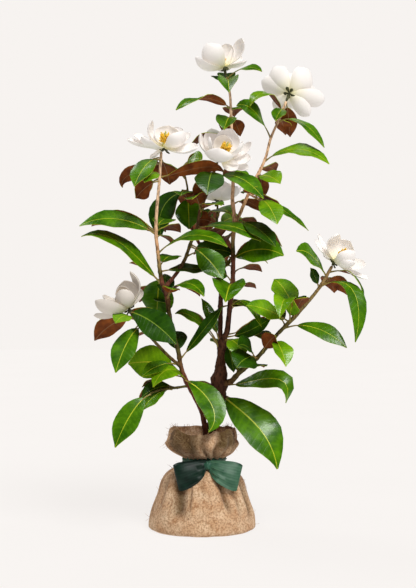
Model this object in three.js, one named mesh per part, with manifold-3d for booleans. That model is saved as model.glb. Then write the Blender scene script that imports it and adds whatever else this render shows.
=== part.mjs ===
// A young evergreen magnolia in flower, standing on its root ball in a tied burlap sack.
// Millimetres, +Z up, -Y towards the viewer. The origin is the centre of the sack's flat underside.

import * as THREE from "three";
import { mergeVertices } from "three/addons/utils/BufferGeometryUtils.js";
import Module from "manifold-3d";

const wasm = await Module();
wasm.setup();

// ---------------------------------------------------------------- driving dimensions

const GAP = 0.35; // kept between pieces that touch
const NEAR = 1; // pieces further apart than this don't cut each other
const UP = new THREE.Vector3(0, 0, 1);
const RIGHT = new THREE.Vector3(1, 0, 0);

// Sack: how wide it is at each height, first up the outside and then down inside the open frill.
const SACK = {
  outside: [
    [88, 0],
    [95, 6],
    [91, 32],
    [80, 68],
    [64, 98],
    [46, 113],
    [36.5, 121],
    [36.5, 130],
    [56, 147],
    [64, 161],
    [62, 176],
  ],
  inside: [
    [57, 175],
    [57, 160],
    [44, 146],
    [24, 138],
  ],
  around: 22,
  folds: 7,
  foldDepth: 0.04, // share of the radius
  foldUnevenness: 0.6,
  smoothFoot: [2, 30], // heights between which the folds set in
  neck: 125.5,
  neckReach: [6, 24], // how far from the neck's height the folds set in again
  frillWave: 5, // rise and fall of the frill's rim
  frillFrom: 145,
};

// Ribbon round the neck of the sack, and the bow at its front.
const RIBBON = {
  neckRadius: 38.6,
  bandThick: 1.6, // half of it
  bandHalfWidth: 4.8,
  height: 125,
  knot: [6.5, 8, 7], // half sizes
  knotCentre: [10, -48.5, 118],
  loopReach: 55,
  loopDrop: 19,
  loopForward: 20,
  loopHalfWidth: [6, 23], // at the knot and at the outer end
  loopHalfThick: 5,
  loopBend: [0.45, 0.3], // where each loop turns, along its reach and its drop
};

// Each limb: its bark, and the points that it runs through as [x, y, z, radius]. A limb starts inside
// the one that carries it, which stands earlier in the list.
const LIMBS = {
  trunk: {
    bark: "old",
    route: [
      [7, 8, 134, 9],
      [13, 8, 165, 9],
      [20, 7, 193, 9.5],
      [27, 6, 222, 12],
      [31, 5, 246, 15.5],
      [32, 5, 264, 15],
      [33, 5, 280, 11],
      [34, 5, 296, 9.2],
      [36, 5, 320, 8.6],
      [37, 6, 340, 7.6],
    ],
  },
  stem_left: {
    bark: "old",
    route: [
      [12, -10, 134, 4.8],
      [7, -11, 168, 4.7],
      [0, -13, 208, 4.5],
      [-14, -16, 239, 4.3],
      [-27, -20, 262, 4.1],
      [-37, -24, 289, 4.1],
      [-42, -27, 318, 4],
      [-49, -29, 341, 3.9],
      [-57, -32, 379, 3.8],
      [-62, -34, 418, 4.2],
    ],
  },
  leader_left: {
    bark: "young",
    route: [
      [-62.5, -34, 418, 3.8],
      [-69, -36, 434, 3.6],
      [-73, -38, 453, 3.5],
      [-78, -42, 497, 3.1],
      [-81, -44, 528, 3],
      [-79, -48, 572, 2.8],
      [-75, -51, 615, 2.5],
      [-71, -56, 670, 2.3],
    ],
  },
  leader_centre: {
    bark: "young",
    route: [
      [-67, -35, 430, 3.2],
      [-51, -28, 449, 3.4],
      [-39, -24, 466, 3.3],
      [-29, -20, 485, 3.1],
      [-20, -16, 511, 2.9],
      [-9, -13, 538, 2.8],
      [-3, -11, 570, 2.6],
      [12, -12, 606, 2.3],
      [20, -15, 633, 2.1],
      [28, -20, 656, 2.1],
    ],
  },
  leader_main: {
    bark: "young",
    route: [
      [39, 4, 338, 4.6],
      [45, 4, 353, 4.7],
      [49, 3, 386, 4.6],
      [55, 2, 438, 4.2],
      [56, 2, 468, 4],
      [56, 2, 522, 3.7],
      [59, 2, 549, 3.8],
      [55, 2, 589, 3.4],
      [56, 3, 620, 3.2],
      [54, 4, 680, 2.8],
      [52, 4, 752, 2.4],
      [50, 3, 782, 2.3],
      [43, 1, 809, 2.2],
    ],
  },
  branch_back: {
    bark: "old",
    route: [
      [34, 10, 334, 4.4],
      [33, 18, 349, 4.3],
      [34, 32, 409, 4.3],
      [35, 39, 431, 4.6],
      [23, 52, 469, 4],
      [9, 62, 489, 3.6],
      [-19, 78, 542, 2.6],
      [-26, 85, 575, 2.1],
      [-28, 90, 620, 1.8],
      [-37, 92, 659, 1.7],
    ],
  },
  twig_back: {
    bark: "old",
    route: [
      [9, 62, 489, 2.2],
      [20, 74, 514, 2.1],
      [27, 86, 541, 2],
      [28, 94, 565, 1.9],
      [29, 104, 591, 1.8],
    ],
  },
  leader_right: {
    bark: "young",
    route: [
      [59, 2, 547, 3.2],
      [68, 6, 564, 3.2],
      [77, 10, 585, 3],
      [92, 18, 619, 2.8],
      [107, 26, 648, 2.8],
      [116, 30, 669, 2.5],
      [126, 38, 706, 2.4],
      [141, 46, 740, 2.2],
      [155, 54, 775, 2.2],
    ],
  },
  twig_right: {
    bark: "young",
    route: [
      [84, 14, 602, 1.9],
      [96, 2, 594, 1.9],
      [108, -8, 588, 1.8],
    ],
  },
  bough_right: {
    bark: "young",
    route: [
      [32, 5, 258, 5.4],
      [50, -6, 262, 5.2],
      [67, -20, 280, 4.2],
      [96, -34, 305, 3.7],
      [130, -48, 346, 3.5],
      [167, -58, 385, 3.3],
      [205, -66, 431, 2.9],
      [227, -73, 469, 2.6],
    ],
  },
  bough_left: {
    bark: "young",
    route: [
      [-37, -24, 290, 3],
      [-62, -36, 313, 2.8],
      [-88, -50, 342, 2.6],
      [-105, -58, 362, 2.4],
      [-127, -68, 391, 2.3],
    ],
  },
  twig_low: {
    bark: "young",
    route: [
      [-25, -19, 256, 2.3],
      [-43, -30, 254, 2.2],
      [-70, -48, 252, 1.9],
      [-91, -62, 246, 1.8],
    ],
  },
};

// Each bloom: the limb whose tip carries it, the way it opens, and its half sizes across, through and
// along that way.
const BLOOMS = {
  bloom_top: { limb: "leader_main", opens: [-0.5, -0.2, 0.85], half: [50, 46, 37] },
  bloom_right_top: { limb: "leader_right", opens: [0.15, 0.75, 0.45], half: [56, 46, 32] },
  bloom_left_top: { limb: "leader_left", opens: [0.12, -0.35, 0.9], half: [62, 50, 30] },
  bloom_centre: { limb: "leader_centre", opens: [0.35, -0.5, 0.75], half: [54, 44, 30] },
  bloom_back: { limb: "twig_back", opens: [0.3, 0.6, 0.6], half: [42, 40, 26] },
  bloom_right: { limb: "bough_right", opens: [0.5, -0.45, 0.6], half: [46, 44, 32] },
  bloom_left: { limb: "bough_left", opens: [-0.6, -0.45, 0.6], half: [44, 42, 32] },
};
const BLOOM = { around: 12, up: 4, petals: 4, lobe: 0.13, dish: 0.5 };

// Each spray: its limb, and its leaves as [height on the limb, right, back, up, width, arch], where
// right, back and up lead from the limb to the leaf's tip, and the arch bows the leaf upwards.
const SPRAYS = {
  leaves_top: {
    limb: "leader_main",
    leaves: [
      [800, 62, -55, 14, 34, 24],
      [798, 4, -80, -20, 38, 16],
      [796, -30, 68, 4, 40, 12],
      [790, 30, 75, 0, 40, 16],
    ],
  },
  leaves_top_low: {
    limb: "leader_main",
    leaves: [
      [756, -99, -35, -9, 42, 28],
      [754, 72, -30, -52, 40, 26],
      [750, -10, -55, -38, 46, 10],
      [748, 25, 85, -10, 42, 20],
    ],
  },
  leaves_right_top: {
    limb: "leader_right",
    leaves: [
      [757, -60, -45, 4, 38, 26],
      [752, -14, -60, -26, 36, 10],
      [755, 14, 50, -56, 40, 8],
      [737, 80, -40, -53, 42, 24],
      [742, -30, 70, -12, 40, 14],
    ],
  },
  leaves_right_mid: {
    limb: "leader_right",
    leaves: [
      [663, 115, -32, -10, 44, 24],
      [648, 31, 72, 2, 40, 14],
      [646, 16, -78, -24, 44, 12],
      [640, 2, 62, -46, 42, 8],
    ],
  },
  leaves_left_top: {
    limb: "leader_left",
    leaves: [
      [655, -47, -60, -40, 46, 16],
      [652, -72, 44, -22, 42, 16],
      [650, 18, 62, -34, 46, 8],
      [618, -40, -72, -22, 46, 28],
      [626, 108, 30, 10, 40, 28],
    ],
  },
  leaves_left_high: {
    limb: "leader_left",
    leaves: [
      [526, -138, -28, 18, 46, 22],
      [530, 42, 66, 4, 40, 10],
      [536, -36, 78, 18, 44, 14],
    ],
  },
  leaves_left_mid: {
    limb: "leader_left",
    leaves: [
      [494, 122, -48, 8, 48, 38],
      [460, 88, 34, 8, 40, 8],
      [470, -40, 82, 30, 44, 14],
    ],
  },
  leaves_left_low: {
    limb: "leader_left",
    leaves: [
      [442, -146, -24, 78, 46, 8],
      [436, -56, 34, 46, 40, 10],
      [444, -10, 60, -76, 54, 14],
    ],
  },
  leaves_fork: {
    limb: "stem_left",
    leaves: [
      [404, 66, -52, 10, 46, 26],
      [398, 30, 80, 12, 42, 14],
    ],
  },
  leaves_centre_top: {
    limb: "leader_centre",
    leaves: [
      [630, 87, -38, -42, 46, 32],
      [636, -12, -66, -44, 50, 14],
    ],
  },
  leaves_centre_high: {
    limb: "leader_centre",
    leaves: [
      [584, 36, -62, 2, 44, 18],
      [580, -14, -62, 16, 40, 12],
    ],
  },
  leaves_centre_mid: {
    limb: "leader_centre",
    leaves: [
      [538, 113, -32, -24, 46, 30],
      [490, 84, 30, 2, 50, 10],
    ],
  },
  leaves_back_top: {
    limb: "branch_back",
    leaves: [
      [640, 36, 40, -8, 40, 16],
      [604, -48, -24, -66, 44, 12],
      [598, 10, -36, -60, 46, 8],
      [610, -40, 84, -4, 44, 16],
    ],
  },
  leaves_back_high: {
    limb: "twig_back",
    leaves: [
      [545, 58, 42, 10, 44, 14],
      [552, -42, -12, 8, 40, 10],
    ],
  },
  leaves_crown_right: {
    limb: "leader_main",
    leaves: [
      [552, 74, -58, -46, 46, 14],
      [582, 54, 46, -20, 42, 14],
      [558, 46, 72, -6, 42, 12],
    ],
  },
  leaves_twig_right: {
    limb: "twig_right",
    leaves: [
      [590, 28, -62, -46, 46, 12],
      [591, 88, -22, -58, 40, 22],
      [592, 50, 60, -14, 40, 16],
    ],
  },
  leaves_trunk_high: {
    limb: "leader_main",
    leaves: [
      [480, 95, -50, 5, 48, 10],
      [464, 53, 62, 3, 40, 14],
      [470, -34, 66, -18, 44, 10],
    ],
  },
  leaves_trunk_mid: {
    limb: "leader_main",
    leaves: [
      [440, -8, -78, -42, 62, 10],
      [434, 44, 68, 2, 40, 12],
      [444, -54, -34, 30, 42, 14],
    ],
  },
  leaves_trunk_low: {
    limb: "leader_main",
    leaves: [
      [400, 54, -58, -38, 40, 28],
      [392, 40, 76, 8, 44, 16],
      [354, 76, -26, 28, 42, 8],
      [350, 42, -48, -28, 40, 10],
    ],
  },
  leaves_trunk_left: {
    limb: "trunk",
    leaves: [
      [325, -79, -30, 58, 44, 8],
      [320, -30, 84, 20, 46, 16],
    ],
  },
  leaves_stem: {
    limb: "stem_left",
    leaves: [
      [306, 76, -22, 92, 40, 12],
      [310, -10, 56, 42, 42, 8],
      [302, -92, 28, 6, 54, 12],
    ],
  },
  leaves_foot_left: {
    limb: "twig_low",
    leaves: [
      [250, -60, -56, -6, 50, 28],
      [250, -48, 44, -24, 42, 10],
      [242, -58, -36, -94, 52, 16],
    ],
  },
  leaves_foot_front: {
    limb: "stem_left",
    leaves: [
      [262, 42, -58, -80, 48, 22],
      [266, 42, 62, -4, 42, 10],
    ],
  },
  leaves_foot_right: {
    limb: "trunk",
    leaves: [
      [234, 106, -55, -122, 60, 24],
      [240, 50, 84, -30, 50, 20],
    ],
  },
  leaves_bough_right_root: {
    limb: "bough_right",
    leaves: [
      [268, 94, -44, -50, 50, 40],
      [286, 40, 72, 10, 44, 14],
    ],
  },
  leaves_bough_right_low: {
    limb: "bough_right",
    leaves: [
      [303, -14, -58, -30, 44, 8],
      [318, -36, -46, 28, 44, 10],
      [322, 3, -64, 24, 40, 8],
      [340, 20, -58, -52, 44, 12],
      [328, 34, 66, -12, 44, 14],
    ],
  },
  leaves_bough_right_mid: {
    limb: "bough_right",
    leaves: [
      [366, 104, -50, -40, 44, 28],
      [370, -74, -30, 32, 42, 16],
      [374, -24, -74, 6, 44, 34],
      [380, 20, -56, 32, 40, 8],
      [384, -36, 38, 62, 44, 10],
    ],
  },
  leaves_bough_right_tip: {
    limb: "bough_right",
    leaves: [
      [458, -58, -50, 38, 42, 14],
      [432, 63, -62, -98, 44, 44],
      [454, 58, -16, -40, 40, 18],
      [446, 30, 74, -8, 42, 18],
    ],
  },
  leaves_bough_left_tip: {
    limb: "bough_left",
    leaves: [
      [358, -49, -44, -82, 48, 16],
      [372, 70, -52, -34, 46, 8],
      [378, -66, 28, -40, 46, 12],
    ],
  },
};

const LEAF = {
  steps: 4,
  thick: 3.4,
  thinnest: 0.55, // share of the thickness that the stalk and the tip keep
  fold: 0.18, // how far the edges are lifted, as a share of the width
  stalk: 0.14, // share of the length
  stalkWidth: 0.06, // share of the width
  early: 0.8, // under 1, the widest place lies nearer to the stalk
  blunt: 0.75, // under 1, the ends are rounder
  bow: 1.33, // what the arch is multiplied by for the two middle points of the curve
  bowAt: [0.3, 0.72], // where those points lie along the reach
  lean: new THREE.Vector3(0, -0.45, 0.9), // the way the upper side faces
  leanOut: 0.5, // how far it turns out along the reach besides
};
const SLEEVE = { wall: 4.5, reach: 4, spacing: 60 };
const LIMB = { sides: 4, spacing: 30 };
const CURVE = { divisionsPerPoint: 20, heightSamples: 200 };

// ---------------------------------------------------------------- shape helpers

// A closed three.js geometry as a manifold solid.
function solidOf(geometry) {
  geometry.deleteAttribute("normal");
  geometry.deleteAttribute("uv");
  const merged = mergeVertices(geometry, 1e-3);
  return new wasm.Manifold(
    new wasm.Mesh({
      numProp: 3,
      vertProperties: new Float32Array(merged.attributes.position.array),
      triVerts: new Uint32Array(merged.index.array),
    }),
  );
}

// A manifold solid as a three.js geometry.
function geometryOf(solid) {
  const mesh = solid.getMesh();
  return new THREE.BufferGeometry()
    .setAttribute("position", new THREE.BufferAttribute(mesh.vertProperties, 3))
    .setIndex(new THREE.BufferAttribute(mesh.triVerts, 1))
    .toNonIndexed();
}

// Moves each point of a geometry to where the given function sends it.
function reshape(geometry, move) {
  const positions = geometry.attributes.position;
  const point = new THREE.Vector3();
  for (let i = 0; i < positions.count; i++) {
    point.fromBufferAttribute(positions, i);
    move(point);
    positions.setXYZ(i, point.x, point.y, point.z);
  }
  return geometry;
}

// A closed bar along a curve. wide and thick give its half sizes at each share of its length, side is
// the direction in which it is wide, and fold lifts its two edges.
function bar(curve, { sides, steps, wide, thick, side, fold = 0 }) {
  const straight = new THREE.CylinderGeometry(1, 1, 1, sides, steps);
  return reshape(straight, (point) => {
    const share = THREE.MathUtils.clamp(point.y + 0.5, 0, 1);
    const along = curve.getTangentAt(share);
    const across = side.clone().addScaledVector(along, -side.dot(along)).normalize();
    const normal = new THREE.Vector3().crossVectors(across, along);
    const out = point.x * wide(share);
    const through = point.z * thick(share) + Math.abs(out) * fold;
    point.copy(curve.getPointAt(share)).addScaledVector(across, out).addScaledVector(normal, through);
  });
}

// The largest single body of a solid.
function mainBody(solid) {
  const bodies = solid.decompose();
  return bodies.reduce((best, body) => (body.volume() > best.volume() ? body : best));
}

// Takes the cutters that come near a solid out of it, and keeps its main body.
function cutClear(solid, cutters) {
  const near = cutters.filter((cutter) => solid.minGap(cutter, NEAR) < NEAR);
  const cut = near.reduce((rest, cutter) => rest.subtract(cutter), solid);
  return mainBody(cut);
}

// ---------------------------------------------------------------- limbs

class Limb {
  constructor({ route }) {
    this.radii = route.map((point) => point[3]);
    this.points = route.map(([x, y, z]) => new THREE.Vector3(x, y, z));
    this.curve = new THREE.CatmullRomCurve3(this.points, false, "centripetal");
    this.lengths = this.points.map((point, i) => this.shareOf(i));
  }

  // The share of the limb's length at which one of its points lies.
  shareOf(index) {
    const divisions = this.points.length * CURVE.divisionsPerPoint;
    const lengths = this.curve.getLengths(divisions);
    const at = Math.round((index / (this.points.length - 1)) * divisions);
    return lengths[at] / lengths[divisions];
  }

  radiusAt(share) {
    const next = Math.max(1, this.lengths.findIndex((length) => length >= share - 1e-9));
    const span = this.lengths[next] - this.lengths[next - 1];
    const along = (share - this.lengths[next - 1]) / span;
    return THREE.MathUtils.lerp(this.radii[next - 1], this.radii[next], along);
  }

  // The share of the length at which the limb reaches a height, or comes nearest to it.
  shareAtHeight(height) {
    let best = 0;
    let miss = Infinity;
    for (let i = 0; i <= CURVE.heightSamples; i++) {
      const share = i / CURVE.heightSamples;
      const off = Math.abs(this.curve.getPointAt(share).z - height);
      if (off < miss) [best, miss] = [share, off];
    }
    return best;
  }

  solid(grow = 0) {
    const steps = Math.max(2, Math.round(this.curve.getLength() / LIMB.spacing));
    const half = (share) => this.radiusAt(share) + grow;
    return solidOf(bar(this.curve, { sides: LIMB.sides, steps, wide: half, thick: half, side: RIGHT }));
  }

  // A short sleeve round the limb that takes in all the given shares of its length.
  sleeve(shares, grow) {
    const reach = SLEEVE.reach / this.curve.getLength();
    const from = Math.max(0, Math.min(...shares) - reach);
    const to = Math.min(1, Math.max(...shares) + reach);
    const shareAt = (share) => THREE.MathUtils.lerp(from, to, share);
    const length = this.curve.getLength() * (to - from);
    const steps = Math.max(1, Math.round(length / SLEEVE.spacing));
    const points = Array.from({ length: steps + 1 }, (_, i) => this.curve.getPointAt(shareAt(i / steps)));
    const half = (share) => this.radiusAt(shareAt(share)) + SLEEVE.wall + grow;
    const curve = new THREE.CatmullRomCurve3(points);
    return solidOf(bar(curve, { sides: LIMB.sides, steps, wide: half, thick: half, side: RIGHT }));
  }

  // A point just under the bark, on the side of the limb that a direction leads to.
  eye(share, direction) {
    const along = this.curve.getTangentAt(share);
    const out = direction.clone().addScaledVector(along, -direction.dot(along)).normalize();
    return this.curve.getPointAt(share).addScaledVector(out, this.radiusAt(share));
  }
}

// ---------------------------------------------------------------- leaves and blooms

// The width of a leaf at each share of its length: a stalk, then a blade that is widest near its middle.
function leafOutline(share) {
  const blade = Math.max(0, share - LEAF.stalk) / (1 - LEAF.stalk);
  return Math.max(LEAF.stalkWidth, Math.sin(Math.PI * blade ** LEAF.early) ** LEAF.blunt);
}

function leafSolid(limb, [height, right, back, up, width, arch], grow) {
  const share = limb.shareAtHeight(height);
  const reach = new THREE.Vector3(right, back, up);
  const to = limb.curve.getPointAt(share).add(reach);
  const from = limb.eye(share, reach);
  const blade = to.clone().sub(from);
  const bow = UP.clone().multiplyScalar(arch * LEAF.bow);
  const middle = LEAF.bowAt.map((at) => from.clone().addScaledVector(blade, at).add(bow));
  const curve = new THREE.CubicBezierCurve3(from, ...middle, to);
  const faces = new THREE.Vector3(right, back, 0).setLength(LEAF.leanOut).add(LEAF.lean);
  const side = new THREE.Vector3().crossVectors(blade, faces);
  const wide = (at) => (width / 2) * leafOutline(at) + grow;
  const thick = (at) => (LEAF.thick / 2) * Math.max(LEAF.thinnest, leafOutline(at)) + grow;
  return solidOf(bar(curve, { sides: 4, steps: LEAF.steps, wide, thick, side, fold: LEAF.fold }));
}

function spraySolid({ limb, leaves }, grow = 0) {
  const carrier = limbs[limb];
  const shares = leaves.map(([height]) => carrier.shareAtHeight(height));
  const sleeve = carrier.sleeve(shares, grow);
  return leaves.reduce((rest, leaf) => rest.add(leafSolid(carrier, leaf, grow)), sleeve);
}

// A bloom: an uneven bowl of broad petals, its mouth slightly dished.
function bloomSolid({ limb, opens, half }, turn, grow = 0) {
  const [across, through, along] = half.map((size) => size + grow);
  const way = new THREE.Vector3(...opens).normalize();
  const toWay = new THREE.Quaternion().setFromUnitVectors(UP, way);
  const centre = limbs[limb].points.at(-1).clone().addScaledVector(way, half[2] + GAP);
  const ball = new THREE.SphereGeometry(1, BLOOM.around, BLOOM.up);
  ball.rotateX(Math.PI / 2);
  return solidOf(
    reshape(ball, (point) => {
      const angle = Math.atan2(point.y, point.x);
      const out = Math.hypot(point.x, point.y);
      const lobe = 1 + BLOOM.lobe * out * Math.cos(BLOOM.petals * angle + turn);
      const lift = point.z > 0 ? point.z * (BLOOM.dish + (1 - BLOOM.dish) * out) * lobe : point.z;
      point.set(point.x * across * lobe, point.y * through * lobe, lift * along);
      point.applyQuaternion(toWay).add(centre);
    }),
  );
}

// ---------------------------------------------------------------- sack and ribbon

function sackSolid(grow = 0) {
  const walls = [
    ...SACK.outside.map(([radius, z]) => new THREE.Vector2(radius + grow, z)),
    ...SACK.inside.map(([radius, z]) => new THREE.Vector2(radius - grow, z)),
  ];
  const foot = new THREE.Vector2(0, -grow);
  const well = new THREE.Vector2(0, walls.at(-1).y);
  const turned = new THREE.LatheGeometry([foot, ...walls, well], SACK.around);
  turned.rotateX(Math.PI / 2);
  return solidOf(
    reshape(turned, (point) => {
      const angle = Math.atan2(point.y, point.x);
      const fromFoot = THREE.MathUtils.smoothstep(point.z, ...SACK.smoothFoot);
      const fromNeck = THREE.MathUtils.smoothstep(Math.abs(point.z - SACK.neck), ...SACK.neckReach);
      const wave = Math.cos(SACK.folds * angle + SACK.foldUnevenness * Math.sin(2 * angle));
      const fold = 1 + SACK.foldDepth * fromFoot * fromNeck * wave;
      const frill = THREE.MathUtils.smoothstep(point.z, SACK.frillFrom, SACK.inside[0][1]);
      const rise = frill * SACK.frillWave * Math.sin(3 * angle + 1) * Math.cos(2 * angle);
      point.set(point.x * fold, point.y * fold, point.z + rise);
    }),
  );
}

function bandSolid(grow = 0) {
  const { neckRadius, bandThick, bandHalfWidth, height } = RIBBON;
  const ring = new THREE.TorusGeometry(neckRadius, 1, 4, SACK.around);
  return solidOf(
    reshape(ring, (point) => {
      const out = Math.hypot(point.x, point.y);
      const scale = (neckRadius + (out - neckRadius) * (bandThick + grow)) / out;
      point.set(point.x * scale, point.y * scale, height + point.z * (bandHalfWidth + grow));
    }),
  );
}

function knotSolid(grow = 0) {
  const ball = new THREE.SphereGeometry(1, 8, 5);
  return solidOf(ball.scale(...RIBBON.knot.map((half) => half + grow)).translate(...RIBBON.knotCentre));
}

// One loop of the bow: it widens from the knot to its outer end and droops a little.
function loopSolid(side, grow = 0) {
  const [x, y, z] = RIBBON.knotCentre;
  const { loopReach, loopDrop, loopForward, loopHalfWidth, loopHalfThick, loopBend } = RIBBON;
  const curve = new THREE.QuadraticBezierCurve3(
    new THREE.Vector3(x + side * (RIBBON.knot[0] - 1), y - 1, z),
    new THREE.Vector3(x + side * loopReach * loopBend[0], y - loopForward, z - loopDrop * loopBend[1]),
    new THREE.Vector3(x + side * loopReach, y - loopForward, z - loopDrop),
  );
  const wide = (share) => THREE.MathUtils.lerp(...loopHalfWidth, share ** 0.8) + grow;
  const thick = (share) => loopHalfThick * (0.5 + 0.5 * Math.sin(Math.PI * share ** 0.7)) + grow;
  return solidOf(bar(curve, { sides: 8, steps: 4, wide, thick, side: UP }));
}

// ---------------------------------------------------------------- assembly

const COLOURS = {
  old: new THREE.MeshStandardMaterial({ color: "#3a2519", roughness: 0.85, metalness: 0 }),
  young: new THREE.MeshStandardMaterial({ color: "#a07448", roughness: 0.7, metalness: 0 }),
  leaf: new THREE.MeshStandardMaterial({ color: "#3c6d12", roughness: 0.35, metalness: 0 }),
  petal: new THREE.MeshStandardMaterial({ color: "#f2ece2", roughness: 0.6, metalness: 0 }),
  burlap: new THREE.MeshStandardMaterial({ color: "#c3a37c", roughness: 0.95, metalness: 0 }),
  satin: new THREE.MeshStandardMaterial({ color: "#1d4a3c", roughness: 0.4, metalness: 0 }),
};

const plant = new THREE.Group();

function place(name, solid, material) {
  const mesh = new THREE.Mesh(geometryOf(solid), material);
  mesh.name = name;
  plant.add(mesh);
}

const limbs = Object.fromEntries(Object.entries(LIMBS).map(([name, spec]) => [name, new Limb(spec)]));

// What later pieces are cut clear of: each earlier piece, grown by the gap.
const taken = [];

place("sack", sackSolid(), COLOURS.burlap);
taken.push(sackSolid(GAP));

const tied = [
  ["ribbon_band", bandSolid],
  ["bow_knot", knotSolid],
  ["bow_loop_left", (grow) => loopSolid(-1, grow)],
  ["bow_loop_right", (grow) => loopSolid(1, grow)],
];
for (const [name, make] of tied) {
  place(name, cutClear(make(0), taken), COLOURS.satin);
  taken.push(make(GAP));
}

for (const [name, limb] of Object.entries(limbs)) {
  place(name, cutClear(limb.solid(), taken), COLOURS[LIMBS[name].bark]);
  taken.push(limb.solid(GAP));
}

Object.entries(BLOOMS).forEach(([name, bloom], index) => {
  place(name, cutClear(bloomSolid(bloom, index), taken), COLOURS.petal);
  taken.push(bloomSolid(bloom, index, GAP));
});

for (const [name, spray] of Object.entries(SPRAYS)) {
  place(name, cutClear(spraySolid(spray), taken), COLOURS.leaf);
  taken.push(spraySolid(spray, GAP));
}

export default plant;
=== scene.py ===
"""A young evergreen magnolia in flower, standing on its root ball in a tied burlap sack.

Blender units are metres, with +Z up and -Y towards the front. Sizes in the classes are in millimetres.
"""

import logging
import math
import random
from collections.abc import Callable, Sequence
from dataclasses import dataclass, field, replace
from enum import Enum

import bpy
import numpy as np
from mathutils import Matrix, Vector, kdtree, noise


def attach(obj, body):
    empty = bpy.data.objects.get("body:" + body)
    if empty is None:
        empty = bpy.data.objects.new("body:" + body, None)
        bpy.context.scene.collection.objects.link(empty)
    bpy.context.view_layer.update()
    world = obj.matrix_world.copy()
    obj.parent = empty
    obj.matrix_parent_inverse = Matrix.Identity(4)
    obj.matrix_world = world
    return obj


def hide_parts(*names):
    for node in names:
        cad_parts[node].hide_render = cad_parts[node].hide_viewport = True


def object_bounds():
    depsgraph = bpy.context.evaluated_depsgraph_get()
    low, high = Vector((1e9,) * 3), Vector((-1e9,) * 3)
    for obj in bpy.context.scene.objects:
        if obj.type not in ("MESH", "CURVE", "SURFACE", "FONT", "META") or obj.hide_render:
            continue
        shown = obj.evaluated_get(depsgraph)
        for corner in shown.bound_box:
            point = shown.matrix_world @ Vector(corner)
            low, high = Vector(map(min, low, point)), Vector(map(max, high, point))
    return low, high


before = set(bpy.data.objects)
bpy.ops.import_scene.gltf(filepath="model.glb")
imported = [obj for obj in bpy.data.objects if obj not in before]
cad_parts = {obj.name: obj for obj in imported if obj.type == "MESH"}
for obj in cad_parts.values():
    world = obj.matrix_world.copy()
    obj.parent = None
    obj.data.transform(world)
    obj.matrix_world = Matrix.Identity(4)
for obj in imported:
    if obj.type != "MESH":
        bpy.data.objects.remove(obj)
CAD_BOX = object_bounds()

log = logging.getLogger("magnolia")
MM = 0.001
WELD_MM = 0.02
SHARP_DEGREES = 55
GOLDEN_DEGREES = 137.5
UP = np.array((0.0, 0.0, 1.0))
RIGHT = np.array((1.0, 0.0, 0.0))
Point = tuple[float, float, float]
Array = np.ndarray
Piece = bpy.types.Object
Material = bpy.types.Material
Socket = bpy.types.NodeSocket
Shade = tuple[int, int, int]
WHITE: Shade = (255, 255, 255)
VIEWPOINT: Point = (10.8, -2200, 420)


def unit(vector: Array) -> Array:
    """The vector, or each row of an array of them, at length 1."""
    return vector / np.linalg.norm(vector, axis=-1, keepdims=True)


def smooth(low: float, high: float, value: Array) -> Array:
    """A soft step from 0 at low to 1 at high."""
    share = np.clip((value - low) / (high - low), 0, 1)
    return share * share * (3 - 2 * share)


def between(value: Array, low: float, full: float, fade: float, high: float) -> Array:
    """A soft band that rises from low to full and falls from fade to high."""
    return smooth(low, full, value) * (1 - smooth(fade, high, value))


def hump(offset: Array) -> Array:
    """A smooth hump, 1 at an offset of 0 and almost 0 from 2 on."""
    return np.exp(-(offset**2))


def wrapped(degrees: Array) -> Array:
    """The same angles between -180 and 180 degrees."""
    return (degrees + 180) % 360 - 180


def run_along(line: Array) -> Array:
    """How far along a line each of its points lies."""
    return np.concatenate(([0], np.cumsum(np.linalg.norm(np.diff(line, axis=0), axis=1))))


def on_line(place: Array | float, run: Array, line: Array) -> Array:
    """The point or points of a line at a place along its run."""
    return np.stack([np.interp(place, run, line[:, axis]) for axis in range(3)], axis=-1)


def refined(grid: Array, count: int, axis: int) -> Array:
    """A grid of points with its rows, or its columns, replaced by a count of evenly spread ones."""
    place = np.linspace(0, grid.shape[axis] - 1, count)
    low = np.minimum(place.astype(int), grid.shape[axis] - 2)
    part = (place - low).reshape([-1 if axis == other else 1 for other in range(3)])
    return grid.take(low, axis) * (1 - part) + grid.take(low + 1, axis) * part


def curve(t: Array, start: Array, first: Array, second: Array, end: Array) -> Array:
    """The points of a cubic curve by way of two handles."""
    return (1 - t) ** 3 * start + 3 * (1 - t) ** 2 * t * first + 3 * (1 - t) * t**2 * second + t**3 * end


def srgb(red: int, green: int, blue: int) -> tuple[float, float, float, float]:
    """A screen colour, 0 to 255, as the linear colour that a shader takes."""
    channels = (value / 255 for value in (red, green, blue))
    linear = (value / 12.92 if value < 0.04045 else ((value + 0.055) / 1.055) ** 2.4 for value in channels)
    return (*linear, 1.0)


# ---------------------------------------------------------------- the modelling bench


def deselect() -> None:
    """Leaves nothing selected, so that an operator acts on the new piece only."""
    bpy.ops.object.select_all(action="DESELECT")


def select_only(*pieces: Piece) -> None:
    """Selects these pieces and makes the first one active."""
    deselect()
    for piece in pieces:
        piece.select_set(True)
    bpy.context.view_layer.objects.active = pieces[0]


def points_of(piece: Piece) -> Array:
    """The piece's vertices as an array of rows."""
    flat = np.empty(len(piece.data.vertices) * 3)
    piece.data.vertices.foreach_get("co", flat)
    return flat.reshape(-1, 3)


def set_points(piece: Piece, points: Array) -> None:
    """Moves the piece's vertices to new places."""
    piece.data.vertices.foreach_set("co", np.ascontiguousarray(points, dtype=float).ravel())
    piece.data.update()


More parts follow.
